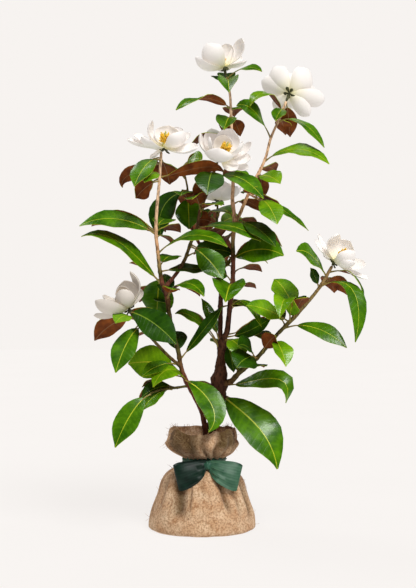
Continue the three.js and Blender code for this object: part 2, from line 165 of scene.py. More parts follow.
def pick(piece: Piece, wanted: Callable[[Vector], bool], kind: str = "VERT") -> None:
    """Goes into edit mode with only the vertices, edges or faces selected whose middle is wanted.

    Args:
        piece: the piece to edit.
        wanted: says whether an element at a place is wanted.
        kind: VERT, EDGE or FACE.
    """
    select_only(piece)
    bpy.ops.object.mode_set(mode="EDIT")
    bpy.ops.mesh.select_mode(type=kind)
    bpy.ops.mesh.select_all(action="DESELECT")
    bpy.ops.object.mode_set(mode="OBJECT")
    mesh = piece.data
    if kind == "VERT":
        for vertex in mesh.vertices:
            vertex.select = wanted(vertex.co)
    elif kind == "EDGE":
        for edge in mesh.edges:
            first, second = (mesh.vertices[i].co for i in edge.vertices)
            edge.select = wanted((first + second) / 2)
    else:
        for face in mesh.polygons:
            face.select = wanted(face.center)
    bpy.ops.object.mode_set(mode="EDIT")


def leave_edit() -> None:
    """Goes back to object mode."""
    bpy.ops.object.mode_set(mode="OBJECT")


def weld(piece: Piece) -> None:
    """Merges the vertices that lie in the same place."""
    pick(piece, lambda place: True)
    bpy.ops.mesh.remove_doubles(threshold=WELD_MM * MM)
    leave_edit()


def face_out(piece: Piece) -> None:
    """Turns every face of a piece to the outside."""
    pick(piece, lambda place: True)
    bpy.ops.mesh.normals_make_consistent(inside=False)
    leave_edit()


def mark(piece: Piece, name: str, values: Array) -> None:
    """Gives each vertex of a piece a value that its material reads by name."""
    piece.data.attributes.new(name, "FLOAT", "POINT").data.foreach_set("value", values)


def apply_modifier(piece: Piece, kind: str, **settings: object) -> None:
    """Adds a modifier to a piece with these settings and applies it."""
    select_only(piece)
    modifier = piece.modifiers.new(kind.title(), kind)
    for name, value in settings.items():
        setattr(modifier, name, value)
    bpy.ops.object.modifier_apply(modifier=modifier.name)


def tube(sides: int, rings: int) -> Piece:
    """A capped cylinder of radius 1 from z 0 to z 1, cut into rings along its length.

    Args:
        sides: faces around.
        rings: faces along.

    Returns:
        The new piece.
    """
    deselect()
    bpy.ops.mesh.primitive_cylinder_add(vertices=sides, radius=1, depth=1, location=(0, 0, 0.5))
    piece = bpy.context.object
    bpy.ops.object.transform_apply(location=True, rotation=False, scale=False)
    if rings > 1:
        pick(piece, lambda middle: 0.01 < middle.z < 0.99, "EDGE")
        bpy.ops.mesh.subdivide(number_cuts=rings - 1)
        leave_edit()
    return piece


def strip(along: Sequence[float], across: Sequence[float]) -> Piece:
    """A flat grid whose rows lie at the given places on x and whose columns lie at those on y.

    Args:
        along: the rows' places.
        across: the columns' places.

    Returns:
        The new piece.
    """
    deselect()
    bpy.ops.mesh.primitive_grid_add(x_subdivisions=len(along) - 1, y_subdivisions=len(across) - 1, size=1)
    piece = bpy.context.object
    points = points_of(piece)
    rows = np.rint((points[:, 0] + 0.5) * (len(along) - 1)).astype(int)
    columns = np.rint((points[:, 1] + 0.5) * (len(across) - 1)).astype(int)
    set_points(piece, np.column_stack((np.array(along)[rows], np.array(across)[columns], 0 * points[:, 2])))
    return piece


def copy_of(pattern: Piece, points: Array) -> Piece:
    """A copy of a pattern with its own mesh, its vertices at new places."""
    copied = pattern.copy()
    copied.data = pattern.data.copy()
    bpy.context.collection.objects.link(copied)
    set_points(copied, points)
    return copied


def joined(name: str, pieces: Sequence[Piece]) -> Piece:
    """Joins pieces into one of that name, shaded smooth."""
    select_only(*pieces)
    if len(pieces) > 1:
        bpy.ops.object.join()
    whole = bpy.context.object
    whole.name = whole.data.name = name
    bpy.ops.object.shade_smooth_by_angle(angle=math.radians(SHARP_DEGREES))
    return whole


def discard(piece: Piece) -> None:
    """Removes a pattern once its copies are made."""
    bpy.data.objects.remove(piece)


def dress(piece: Piece, *materials: Material) -> None:
    """Puts these materials in the piece's slots, in order."""
    slots = piece.data.materials
    for index, material in enumerate(materials):
        if index < len(slots):
            slots[index] = material
        else:
            slots.append(material)


def hand_over(piece: Piece, slot: str, *nodes: str) -> None:
    """Ties a finished piece to the frame.

    Args:
        piece: the finished piece.
        slot: not used.
        nodes: the nodes that it stands for.
    """
    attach(piece, "root")
    if nodes:
        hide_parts(*nodes)
    log.info("%s: %d faces", piece.name, len(piece.data.polygons))


# ---------------------------------------------------------------- finishes


class NodeBench:
    """Adds and links the nodes of one node tree."""

    def __init__(self, tree: bpy.types.NodeTree) -> None:
        """Works on this tree."""
        self.tree = tree

    def add(self, kind: str, inputs: dict | None = None, **settings: object) -> bpy.types.Node:
        """Adds a node.

        Args:
            kind: the node's type, without ShaderNode.
            inputs: a socket's name or number, and a plain value or the output that feeds it.
            settings: the node's own settings.

        Returns:
            The new node.
        """
        node = self.tree.nodes.new("ShaderNode" + kind)
        for name, value in settings.items():
            setattr(node, name, value)
        for socket, value in (inputs or {}).items():
            self.feed(node.inputs[socket], value)
        return node

    def feed(self, socket: Socket, value: object) -> None:
        """Links an output to a socket, or sets the socket to a plain value."""
        if isinstance(value, Socket):
            self.tree.links.new(value, socket)
        else:
            socket.default_value = value

    def graded(self, value: object, low: object, high: object, start: float = 0.0) -> Socket:
        """Runs from low to high while a value runs from start to 1."""
        inputs = {"Value": value, "From Min": start, "To Min": low, "To Max": high}
        return self.add("MapRange", inputs).outputs["Result"]


class Recipe(NodeBench):
    """The nodes of one material round its Principled shader."""

    def __init__(self, name: str, **sockets: object) -> None:
        """Starts a material.

        Args:
            name: the material's name.
            sockets: plain values for the shader, with _ for each space in a socket's name.
        """
        self.material = bpy.data.materials.new(name)
        self.material.use_nodes = True
        super().__init__(self.material.node_tree)
        self.shader = self.tree.nodes["Principled BSDF"]
        for socket, value in sockets.items():
            self.shader.inputs[socket.replace("_", " ")].default_value = value

    def place(self, kind: str = "Object", scale: Point = (1, 1, 1)) -> Socket:
        """The piece's own coordinates, stretched by a scale."""
        source = self.add("TexCoord").outputs[kind]
        return self.add("Mapping", {"Vector": source, "Scale": scale}).outputs["Vector"]

    def cloud(self, at: Socket, scale: float, detail: float = 3) -> Socket:
        """Soft noise from 0 to 1."""
        return self.add("TexNoise", {"Vector": at, "Scale": scale, "Detail": detail}).outputs["Fac"]

    def ramp(self, factor: Socket, *stops: tuple[float, tuple]) -> Socket:
        """Colours that a factor runs through, each as (place, colour)."""
        node = self.add("ValToRGB", {"Fac": factor})
        points = node.color_ramp.elements
        while len(points) < len(stops):
            points.new(0.5)
        for point, (place, colour) in zip(points, stops):
            point.position = place
            point.color = colour
        return node.outputs["Color"]

    def blend(self, factor: object, first: object, second: object, mode: str = "MIX") -> Socket:
        """One colour over another."""
        node = self.add("Mix", data_type="RGBA", blend_type=mode)
        self.feed(node.inputs["Factor"], factor)
        self.feed(node.inputs["A"], first)
        self.feed(node.inputs["B"], second)
        return node.outputs["Result"]

    def maths(self, operation: str, *values: object) -> Socket:
        """One arithmetic step."""
        return self.add("Math", dict(enumerate(values)), operation=operation).outputs["Value"]

    def colour(self, socket: Socket) -> None:
        """Sets what feeds the base colour."""
        self.feed(self.shader.inputs["Base Color"], socket)

    def rough(self, factor: Socket, low: float, high: float) -> None:
        """Lets a factor drive the roughness between two values."""
        self.feed(self.shader.inputs["Roughness"], self.graded(factor, low, high))

    def glow(self, colour: object, strength: float) -> None:
        """Lets the surface give off a little light of its own."""
        self.feed(self.shader.inputs["Emission Color"], colour)
        self.feed(self.shader.inputs["Emission Strength"], strength)

    def mark(self, name: str) -> Socket:
        """The value that the piece's vertices carry by this name."""
        return self.add("Attribute", attribute_name=name).outputs["Fac"]

    def shades(self, factor: Socket, low: float, deep: Shade, high: float, light: Shade) -> Socket:
        """Runs from a deep shade at low to a light one at high."""
        return self.ramp(factor, (low, srgb(*deep)), (high, srgb(*light)))

    def bump(self, height: Socket, strength: float, depth_mm: float) -> None:
        """Presses a height pattern into the surface."""
        node = self.add("Bump", {"Height": height, "Strength": strength, "Distance": depth_mm * MM})
        self.feed(self.shader.inputs["Normal"], node.outputs["Normal"])


class Tone(Enum):
    """The greens of the leaves' upper sides, as (deep colour, light colour). On the leaves listed one by one,
    DARK partly paints shade on leaves that lie in shade and LIGHT partly paints light on leaves that catch
    it; other leaves take a tone at random.
    """

    DARK = ((22, 56, 1), (44, 86, 2))
    MID = ((44, 89, 1), (86, 136, 3))
    LIGHT = ((76, 127, 2), (124, 170, 10))


@dataclass(frozen=True)
class LeafGloss:
    """The waxed upper side of a leaf."""

    tone: Tone
    veins: int = 15
    vein_lean: float = -9.0

    def make(self) -> Material:
        """The material for this tone."""
        name = f"leaf_gloss_{self.tone.name.lower()}"
        recipe = Recipe(name, Coat_Weight=0.3, Coat_Roughness=0.14, Specular_IOR_Level=0.2)
        deep, light = self.tone.value
        at = recipe.place()
        blade = recipe.add("SeparateXYZ", {"Vector": recipe.place("UV")})
        side = recipe.maths("ABSOLUTE", recipe.maths("SUBTRACT", blade.outputs["Y"], 0.5))
        lean = recipe.maths("MULTIPLY", side, self.vein_lean)
        run = recipe.maths("MULTIPLY_ADD", blade.outputs["X"], self.veins * math.pi, lean)
        quilt = recipe.maths("POWER", recipe.maths("ABSOLUTE", recipe.maths("SINE", run)), 0.35)
        mottle = recipe.maths("MULTIPLY_ADD", quilt, -0.12, recipe.cloud(at, 48, 4))
        recipe.colour(recipe.shades(mottle, 0.22, deep, 0.62, light))
        recipe.rough(recipe.cloud(at, 90), 0.24, 0.4)
        soft = recipe.maths("MULTIPLY_ADD", recipe.cloud(at, 110, 2), 1.4, quilt)
        recipe.bump(soft, 0.4, 0.7)
        return recipe.material


@dataclass(frozen=True)
class PlainSkin:
    """A dull or waxy surface whose colour wanders a little between two shades."""

    name: str
    deep: Shade
    light: Shade
    roughness: float
    grain: float
    relief_mm: float
    shine: float = 0.5

    def make(self) -> Material:
        """The material."""
        recipe = Recipe(self.name, Specular_IOR_Level=self.shine)
        at = recipe.place()
        wander = recipe.cloud(at, self.grain, 4)
        recipe.colour(recipe.shades(wander, 0.3, self.deep, 0.72, self.light))
        recipe.rough(wander, self.roughness - 0.08, self.roughness + 0.08)
        recipe.bump(recipe.cloud(at, self.grain * 6, 3), 0.5, self.relief_mm)
        return recipe.material


@dataclass(frozen=True)
class Bark:
    """Bark that turns from old, dark and fissured to young, tan and smooth along a limb."""

    name: str = "bark"
    ages: tuple[tuple[float, Shade], ...] = (
        (0.0, (66, 40, 26)),
        (0.22, (92, 56, 38)),
        (0.36, (128, 74, 56)),
        (0.5, (86, 82, 36)),
        (0.64, (160, 134, 84)),
        (0.82, (218, 166, 122)),
        (1.0, (242, 206, 168)),
    )

    def make(self) -> Material:
        """The material. The limb's own attribute "youth" says where it is young."""
        recipe = Recipe(self.name, Specular_IOR_Level=0.15)
        at = recipe.place(scale=(1, 1, 0.35))
        youth = recipe.mark("youth")
        shifted = recipe.maths("ADD", youth, recipe.maths("MULTIPLY", recipe.cloud(at, 90, 5), 0.12))
        age = recipe.maths("SUBTRACT", shifted, 0.06)
        base = recipe.ramp(age, *((place, srgb(*colour)) for place, colour in self.ages))
        flecks = recipe.shades(recipe.cloud(at, 320, 4), 0.36, (130, 118, 108), 0.54, WHITE)
        recipe.colour(recipe.blend(0.8, base, flecks, "MULTIPLY"))
        recipe.rough(age, 0.85, 0.5)
        recipe.bump(recipe.cloud(at, 420, 5), 0.8, 0.8)
        return recipe.material


@dataclass(frozen=True)
class PetalSkin:
    """Creamy white petals, yellower towards their foot. A faint glow stands in for light through them."""

    name: str
    foot: Shade
    claw: Shade
    blade: Shade
    tip: Shade
    glow: float

    def make(self) -> Material:
        """The material. The petals' own attribute "share" runs from foot to tip."""
        recipe = Recipe(self.name, Roughness=0.55, Specular_IOR_Level=0.3)
        at = recipe.place()
        share = recipe.mark("share")
        shifted = recipe.maths("ADD", share, recipe.maths("MULTIPLY", recipe.cloud(at, 120), 0.1))
        stops = zip((0.0, 0.2, 0.45, 1.0), (self.foot, self.claw, self.blade, self.tip))
        tint = recipe.ramp(shifted, *((place, srgb(*colour)) for place, colour in stops))
        recipe.colour(tint)
        recipe.glow(tint, self.glow)
        recipe.bump(recipe.cloud(recipe.place(scale=(1, 1, 0.4)), 110, 2), 0.15, 0.25)
        return recipe.material


@dataclass(frozen=True)
class Burlap:
    """Coarse woven jute with dark gaps between its threads and loose flecks."""

    threads_around: float = 290
    threads_along: float = 200
    # The colour of the painted shade in the sack's creases, fold valleys and frill panels.
    painted_shade_colour: Shade = (118, 112, 88)

    def make(self) -> Material:
        """The material. It reads the sack's own UV map, so the weave follows the cloth, and the sack's own
        attribute of painted shade, which darkens the creases, the fold valleys and some panels of the frill.
        """
        recipe = Recipe("burlap", Roughness=0.95, Sheen_Weight=0.06, Specular_IOR_Level=0.2)
        cloth = recipe.place("UV")
        at = recipe.place()
        wobble = recipe.maths("MULTIPLY", recipe.cloud(at, 40), 1.5)
        split = recipe.add("SeparateXYZ", {"Vector": cloth})
        heights = []
        for axis, count in (("X", self.threads_around), ("Y", self.threads_along)):
            turn = recipe.maths("MULTIPLY_ADD", split.outputs[axis], count * math.pi, wobble)
            heights.append(recipe.maths("ABSOLUTE", recipe.maths("SINE", turn)))
        weave = recipe.maths("MULTIPLY", *heights)
        fuzz = recipe.cloud(at, 900, 4)
        height = recipe.maths("MULTIPLY_ADD", fuzz, 0.6, weave)
        body = recipe.shades(recipe.cloud(at, 50, 6), 0.32, (203, 160, 120), 0.68, (233, 203, 168))
        gaps = recipe.shades(height, 0.1, (118, 86, 60), 0.6, WHITE)
        flecks = recipe.shades(recipe.cloud(at, 420, 3), 0.29, (96, 62, 42), 0.37, WHITE)
        grain = recipe.shades(recipe.cloud(at, 300, 2), 0.38, (186, 160, 134), 0.56, WHITE)
        woven = recipe.blend(0.3, recipe.blend(0.7, body, grain, "MULTIPLY"), gaps, "MULTIPLY")
        unshaded = recipe.blend(0.7, woven, flecks, "MULTIPLY")
        # Painted shade: darkens the cloth where the sack's attribute says, in its creases, fold valleys and
        # some frill panels.
        painted_shade = recipe.mark("painted_shade")
        in_painted_shade = recipe.blend(1.0, unshaded, srgb(*self.painted_shade_colour), "MULTIPLY")
        recipe.colour(recipe.blend(painted_shade, unshaded, in_painted_shade))
        recipe.bump(height, 0.7, 0.8)
        return recipe.material


@dataclass(frozen=True)
class Satin:
    """Green ribbon with a fine rib and a soft sheen. Its darker and lighter copies paint shade on the bow's
    left loop and light on its right loop.
    """

    name: str
    deep: Shade
    light: Shade
    ribs: float = 60

    def make(self) -> Material:
        """The material. It reads the ribbon's own UV map, so the ribs run along it."""
        recipe = Recipe(self.name, Sheen_Weight=0.04, Sheen_Roughness=0.4, Specular_IOR_Level=0.28)
        at = recipe.place()
        cloth = recipe.add("SeparateXYZ", {"Vector": recipe.place("UV")})
        drift = recipe.maths("MULTIPLY", recipe.cloud(at, 70, 2), 5)
        turn = recipe.maths("MULTIPLY_ADD", cloth.outputs["Y"], self.ribs, drift)
        rib = recipe.maths("SINE", turn)
        shade = recipe.maths("MULTIPLY_ADD", rib, 0.08, recipe.cloud(at, 60, 3))
        recipe.colour(recipe.shades(shade, 0.25, self.deep, 0.75, self.light))
        recipe.rough(shade, 0.4, 0.54)
        recipe.bump(rib, 0.12, 0.3)
        return recipe.material


@dataclass(frozen=True)
class Finishes:
    """Every material of the plant, each made once."""

    leaves: tuple[Material, ...]
    rib: Material
    rib_deep: Material
    russet: Material
    rib_below: Material
    stalk: Material
    bark: Material
    petal: Material
    petal_shaded: Material
    stamen: Material
    sepal: Material
    sepal_light: Material
    burlap: Material
    hem: Material
    satin: Material
    satin_dark: Material
    satin_light: Material

    @classmethod
    def make(cls) -> "Finishes":
        """Makes the whole set."""
        return cls(
            leaves=tuple(LeafGloss(tone).make() for tone in Tone),
            rib=PlainSkin("leaf_rib", (150, 168, 22), (192, 200, 40), 0.4, 80, 0.2).make(),
            rib_deep=PlainSkin("leaf_rib_deep", (92, 124, 14), (132, 156, 30), 0.4, 80, 0.2).make(),
            russet=PlainSkin("leaf_russet", (84, 36, 8), (146, 78, 26), 0.75, 70, 0.3, 0.2).make(),
            rib_below=PlainSkin("leaf_rib_below", (120, 84, 52), (150, 110, 70), 0.7, 80, 0.2).make(),
            stalk=PlainSkin("leaf_stalk", (118, 112, 40), (158, 128, 62), 0.55, 90, 0.2).make(),
            bark=Bark().make(),
            petal=PetalSkin(
                "petal", (204, 196, 128), (220, 213, 190), (225, 219, 213), (227, 222, 218), 0.22
            ).make(),
            # Greyer petals with less glow: painted shade for the bloom that lies in the shade of the crown.
            petal_shaded=PetalSkin(
                "petal_painted_shade", (172, 162, 108), (194, 186, 164), (206, 198, 188), (204, 196, 186), 0.1
            ).make(),
            stamen=PlainSkin("stamen", (240, 184, 30), (255, 224, 84), 0.6, 300, 0.2).make(),
            sepal=PlainSkin("sepal", (38, 44, 16), (84, 84, 40), 0.7, 160, 0.3).make(),
            sepal_light=PlainSkin("carpel", (170, 176, 88), (206, 204, 120), 0.6, 260, 0.3).make(),
            burlap=Burlap().make(),
            hem=PlainSkin("jute_thread", (150, 112, 74), (206, 170, 128), 0.9, 200, 0.2).make(),
            satin=Satin("satin", (22, 58, 44), (54, 100, 78)).make(),
            # The darker copy paints the shade on the left loop of the bow, the lighter one the light on the
            # right loop.
            satin_dark=Satin("satin_dark", (3, 20, 13), (14, 44, 32)).make(),
            satin_light=Satin("satin_light", (36, 76, 55), (72, 108, 83)).make(),
        )


# ---------------------------------------------------------------- limbs


class Route:
    """The smooth curve through a limb's points, measured along its length, with its radius."""

    STEPS = 20

    def __init__(self, rows: Sequence[Sequence[float]]) -> None:
        """Lays the curve.

        Args:
            rows: x, y, z and radius at each point, in mm.
        """
        table = np.array(rows, dtype=float)
        knots = table[:, :3]
        ends = np.vstack((2 * knots[0] - knots[1], knots, 2 * knots[-1] - knots[-2]))
        gaps = np.linalg.norm(np.diff(ends, axis=0), axis=1) ** 0.5
        share = np.linspace(0, 1, self.STEPS, endpoint=False)[:, None]
        spans = []
        for i in range(len(knots) - 1):
            before, start, end, after = ends[i : i + 4]
            d0, d1, d2 = gaps[i : i + 3]
            leave = d1 * ((start - before) / d0 - (end - before) / (d0 + d1) + (end - start) / d1)
            arrive = d1 * ((end - start) / d1 - (after - start) / (d1 + d2) + (after - end) / d2)
            square = 3 * (end - start) - 2 * leave - arrive
            cube = 2 * (start - end) + leave + arrive
            spans.append(start + share * leave + share**2 * square + share**3 * cube)
        self.line = np.vstack((*spans, knots[-1:]))
        run = run_along(self.line)
        self.length = float(run[-1])
        self.shares = run / run[-1]
        self.radii = table[:, 3]

    def at(self, share: Array | float) -> Array:
        """The point or points at a share of the length."""
        return on_line(share, self.shares, self.line)

    def radius(self, share: Array | float) -> Array:
        """The radius at a share of the length."""
        return np.interp(share, self.shares[:: self.STEPS], self.radii)

    def along(self, share: Array | float) -> Array:
        """The unit direction of growth at a share of the length."""
        step = 3 / self.length
        return unit(self.at(np.minimum(share + step, 1)) - self.at(np.maximum(share - step, 0)))

    def share_at_height(self, height: float) -> float:
        """The share of the length at which the limb comes nearest to a height."""
        shares = np.linspace(0, 1, 201)
        return float(shares[np.argmin(np.abs(self.at(shares)[:, 2] - height))])

    def eye(self, share: float, direction: Array) -> Array:
        """The point on the bark that a direction leads to."""
        along = self.along(share)
        return self.at(share) + unit(direction - along * (direction @ along)) * self.radius(share)


def swept(unit_tube: Array, route: Route, radius: Array) -> Array:
    """Lays the vertices of a unit tube along a route.

    Args:
        unit_tube: vertices whose z is the share of the length.
        route: what the tube follows.
        radius: the radius at each vertex.

    Returns:
        The vertices' new places, in mm.
    """
    along = route.along(unit_tube[:, 2])
    side = unit(RIGHT - along * along[:, :1])
    other = np.cross(along, side)
    out = side * unit_tube[:, :1] + other * unit_tube[:, 1:2]
    return route.at(unit_tube[:, 2]) + out * radius[:, None]


def rod_along(pattern: Piece, route: Route) -> Piece:
    """A copy of a unit tube, laid along a route with the route's own radius."""
    shape = points_of(pattern)
    return copy_of(pattern, swept(shape, route, route.radius(shape[:, 2])) * MM)


@dataclass(frozen=True)
class Limb:
    """One tapering stem, bough or twig.

    Youth runs from 0, old dark bark, to 1, this year's tan bark, at even steps along the limb.
    """

    name: str
    slot: str
    youth: tuple[float, ...]
    rows: tuple[tuple[float, float, float, float], ...]
    sides: int = 18
    ring_mm: float = 2.6
    stubs: int = 0
    relief_old: float = 0.22
    relief_lost: float = 0.18
    node_swelling: float = 0.16
    node_mm: float = 2.2
    collar_swelling: float = 0.3
    stub_steps: tuple[tuple[float, float], ...] = ((1.3, 0.8), (1.9, 0.35))

    def route(self) -> Route:
        """The curve that the limb follows."""
        return Route(self.rows)

    def build(self, finishes: Finishes, eyes: Sequence[float]) -> Piece:
        """Models the limb with its bark's relief, its nodes and its stubs.

        Args:
            finishes: the plant's materials.
            eyes: the shares of the length at which leaves stand.

        Returns:
            The finished piece.
        """
        route = self.route()
        piece = tube(self.sides, max(4, round(route.length / self.ring_mm)))
        shape = points_of(piece)
        share = shape[:, 2]
        youth = np.interp(share, np.linspace(0, 1, len(self.youth)), self.youth)
        relief = self.relief_old - self.relief_lost * youth
        place = route.at(share) + shape * (6, 6, 0)
        rough = [noise.fractal((x * 0.22, y * 0.22, z * 0.08), 0.6, 2.1, 4) for x, y, z in place]
        knots = sum((hump((share - eye) * route.length / self.node_mm) for eye in eyes), 0 * share)
        collar = self.collar_swelling * np.exp(-share * route.length / (1.6 * self.rows[0][3]))
        tip = np.sqrt(np.clip((1 - share) * route.length / route.radius(1.0), 0, 1)) * 0.5 + 0.5
        swelling = 1 + relief * np.array(rough) + self.node_swelling * np.minimum(knots, 1) + collar
        radius = route.radius(share) * tip * swelling
        set_points(piece, swept(shape, route, radius) * MM)
        mark(piece, "youth", youth)
        self.grow_stubs(piece, route)
        dress(piece, finishes.bark)
        piece = joined(f"limb_{self.name}", [piece])
        hand_over(piece, self.slot, self.name)
        return piece

    def grow_stubs(self, piece: Piece, route: Route) -> None:
        """Draws small pointed stubs of shed twigs out of the bark."""
        dice = random.Random(self.name)
        for index in range(self.stubs):
            share = (index + 0.3 + 0.4 * dice.random()) / self.stubs
            angle = 2.4 * index + dice.random()
            middle = Vector(route.at(share))
            faces = piece.data.polygons
            out = Vector((math.cos(angle), math.sin(angle), 0.5)).normalized()
            target = (middle + out * float(route.radius(share))) * MM
            nearest = min(faces, key=lambda face: (face.center - target).length).index
            centre = faces[nearest].center.copy()
            pick(piece, lambda place, centre=centre: (place - centre).length < 1e-6, "FACE")
            for reach, size in self.stub_steps:
                bpy.ops.mesh.extrude_region_move(TRANSFORM_OT_translate={"value": out * reach * MM})
                centre = centre + out * reach * MM
                bpy.ops.transform.resize(value=(size,) * 3, center_override=centre)
            leave_edit()


LIMBS = (
    Limb(
        "trunk", "bark_old", (0.02, 0.02, 0.05, 0.1, 0.12),
        ((7, 8, 134, 9), (13, 8, 165, 9), (20, 7, 193, 9.2), (27, 6, 222, 11), (30, 5, 246, 14.5),
         (31, 5, 264, 16), (33, 5, 280, 11), (34, 5, 296, 8.6), (36, 5, 320, 7.8), (37, 6, 340, 7.4)),
        sides=28, ring_mm=2, stubs=9,
    ),
    Limb(
        "stem_left", "bark_old", (0.2, 0.28, 0.32, 0.36, 0.5, 0.5, 0.4),
        ((12, -10, 134, 4.8), (7, -11, 168, 4.7), (0, -13, 208, 4.5), (-14, -16, 239, 4.3),
         (-27, -20, 262, 4.1), (-37, -24, 289, 4.1), (-42, -27, 318, 4), (-49, -29, 341, 3.9),
         (-57, -32, 379, 3.8), (-62, -34, 418, 4.2)),
        stubs=2,
    ),
    Limb(
        "leader_left", "bark_young", (0.12, 0.6, 0.88, 0.95, 1.0, 1.0),
        ((-62.5, -34, 418, 3.8), (-69, -36, 434, 3.6), (-73, -38, 453, 3.5), (-78, -42, 497, 3.1),
         (-81, -44, 528, 3), (-79, -48, 572, 2.8), (-75, -51, 615, 2.5), (-71, -56, 670, 2.3)),
    ),
    Limb(
        "leader_centre", "bark_young", (0.3, 0.44, 0.5, 0.42, 0.38, 0.38),
        ((-67, -35, 430, 3.2), (-51, -28, 449, 3.4), (-39, -24, 466, 3.3), (-29, -20, 485, 3.1),
         (-20, -16, 511, 2.9), (-9, -13, 538, 2.8), (-3, -11, 570, 2.6), (12, -12, 606, 2.3),
         (20, -15, 633, 2.1), (28, -20, 656, 2.1)),
    ),
    Limb(
        "leader_main", "bark_young", (0.12, 0.18, 0.3, 0.8, 0.92, 0.95, 1.0, 1.0),
        ((39, 4, 338, 4.6), (45, 4, 353, 4.7), (49, 3, 386, 4.6), (55, 2, 438, 4.2), (56, 2, 468, 4),
         (56, 2, 522, 3.7), (59, 2, 549, 3.8), (55, 2, 589, 3.4), (56, 3, 620, 3.2), (54, 4, 680, 2.8),
         (52, 4, 752, 2.4), (50, 3, 782, 2.3), (43, 1, 809, 2.2)),
    ),
    Limb(
        "branch_back", "bark_old", (0.14, 0.16, 0.2, 0.3, 0.5, 0.6),
        ((34, 10, 334, 4.4), (33, 18, 349, 4.3), (34, 32, 409, 4.3), (35, 39, 431, 4.6),
         (23, 52, 469, 4), (9, 62, 489, 3.6), (-19, 78, 542, 2.6), (-26, 85, 575, 2.1),
         (-28, 90, 620, 1.8), (-37, 92, 659, 1.7)),
    ),
    Limb(
        "twig_back", "bark_old", (0.4, 0.5, 0.55),
        ((9, 62, 489, 2.2), (20, 74, 514, 2.1), (27, 86, 541, 2), (28, 94, 565, 1.9), (29, 104, 591, 1.8)),
        sides=12,
    ),
    Limb(
        "leader_right", "bark_young", (0.66, 0.84, 0.9, 0.95, 1.0),
        ((59, 2, 547, 3.2), (68, 6, 564, 3.2), (77, 10, 585, 3), (92, 18, 619, 2.8), (107, 26, 648, 2.8),
         (116, 30, 669, 2.5), (126, 38, 706, 2.4), (141, 46, 740, 2.2), (155, 54, 775, 2.2)),
    ),
    Limb(
        "twig_right", "bark_young", (0.85, 0.9),
        ((84, 14, 602, 1.9), (96, 2, 594, 1.9), (108, -8, 588, 1.8)),
        sides=12,
    ),
    Limb(
        "bough_right", "bark_young", (0.42, 0.48, 0.5, 0.56, 0.62, 0.7),
        ((32, 5, 258, 5.4), (50, -6, 262, 5.2), (67, -20, 280, 4.2), (96, -34, 305, 3.7),
         (130, -48, 346, 3.5), (167, -58, 385, 3.3), (205, -66, 431, 2.9), (227, -73, 469, 2.6)),
    ),
    Limb(
        "bough_left", "bark_young", (0.46, 0.48, 0.5),
        ((-37, -24, 290, 3), (-62, -36, 313, 2.8), (-88, -50, 342, 2.6), (-105, -58, 362, 2.4),
         (-127, -68, 391, 2.3)),
        sides=14,
    ),
    Limb(
        "twig_low", "bark_young", (0.48, 0.52),
        ((-25, -19, 256, 2.3), (-43, -30, 254, 2.2), (-70, -48, 252, 1.9), (-91, -62, 246, 1.8)),
        sides=12,
    ),
)


# ---------------------------------------------------------------- leaves


@dataclass(frozen=True)
class Leaf:
    """One leaf: the height of its eye on the limb, and how far its tip lies from the limb's middle there.

    Its blade bows up by arch, or bends by way of two points given from its eye, all in mm.
    """

    height: float
    reach: Point
    width: float
    arch: float
    faces: Point | None = None
    tone: Tone = Tone.MID
    fold: float = 0.16
    twist: float = 0.0
    stalk: float = 13.0
    bends: tuple[Point, Point] | None = None


@dataclass(frozen=True)
class Spray:
    """The leaves of one mass, which one limb carries."""

    node: str
    limb: str
    leaves: tuple[Leaf, ...]

    def gap(self, height: float) -> float:
        """How far the nearest leaf's eye lies above or below a height."""
        return min(abs(leaf.height - height) for leaf in self.leaves)


DARK, MID, LIGHT = Tone
FRONT = (0, -0.7, 0.6)

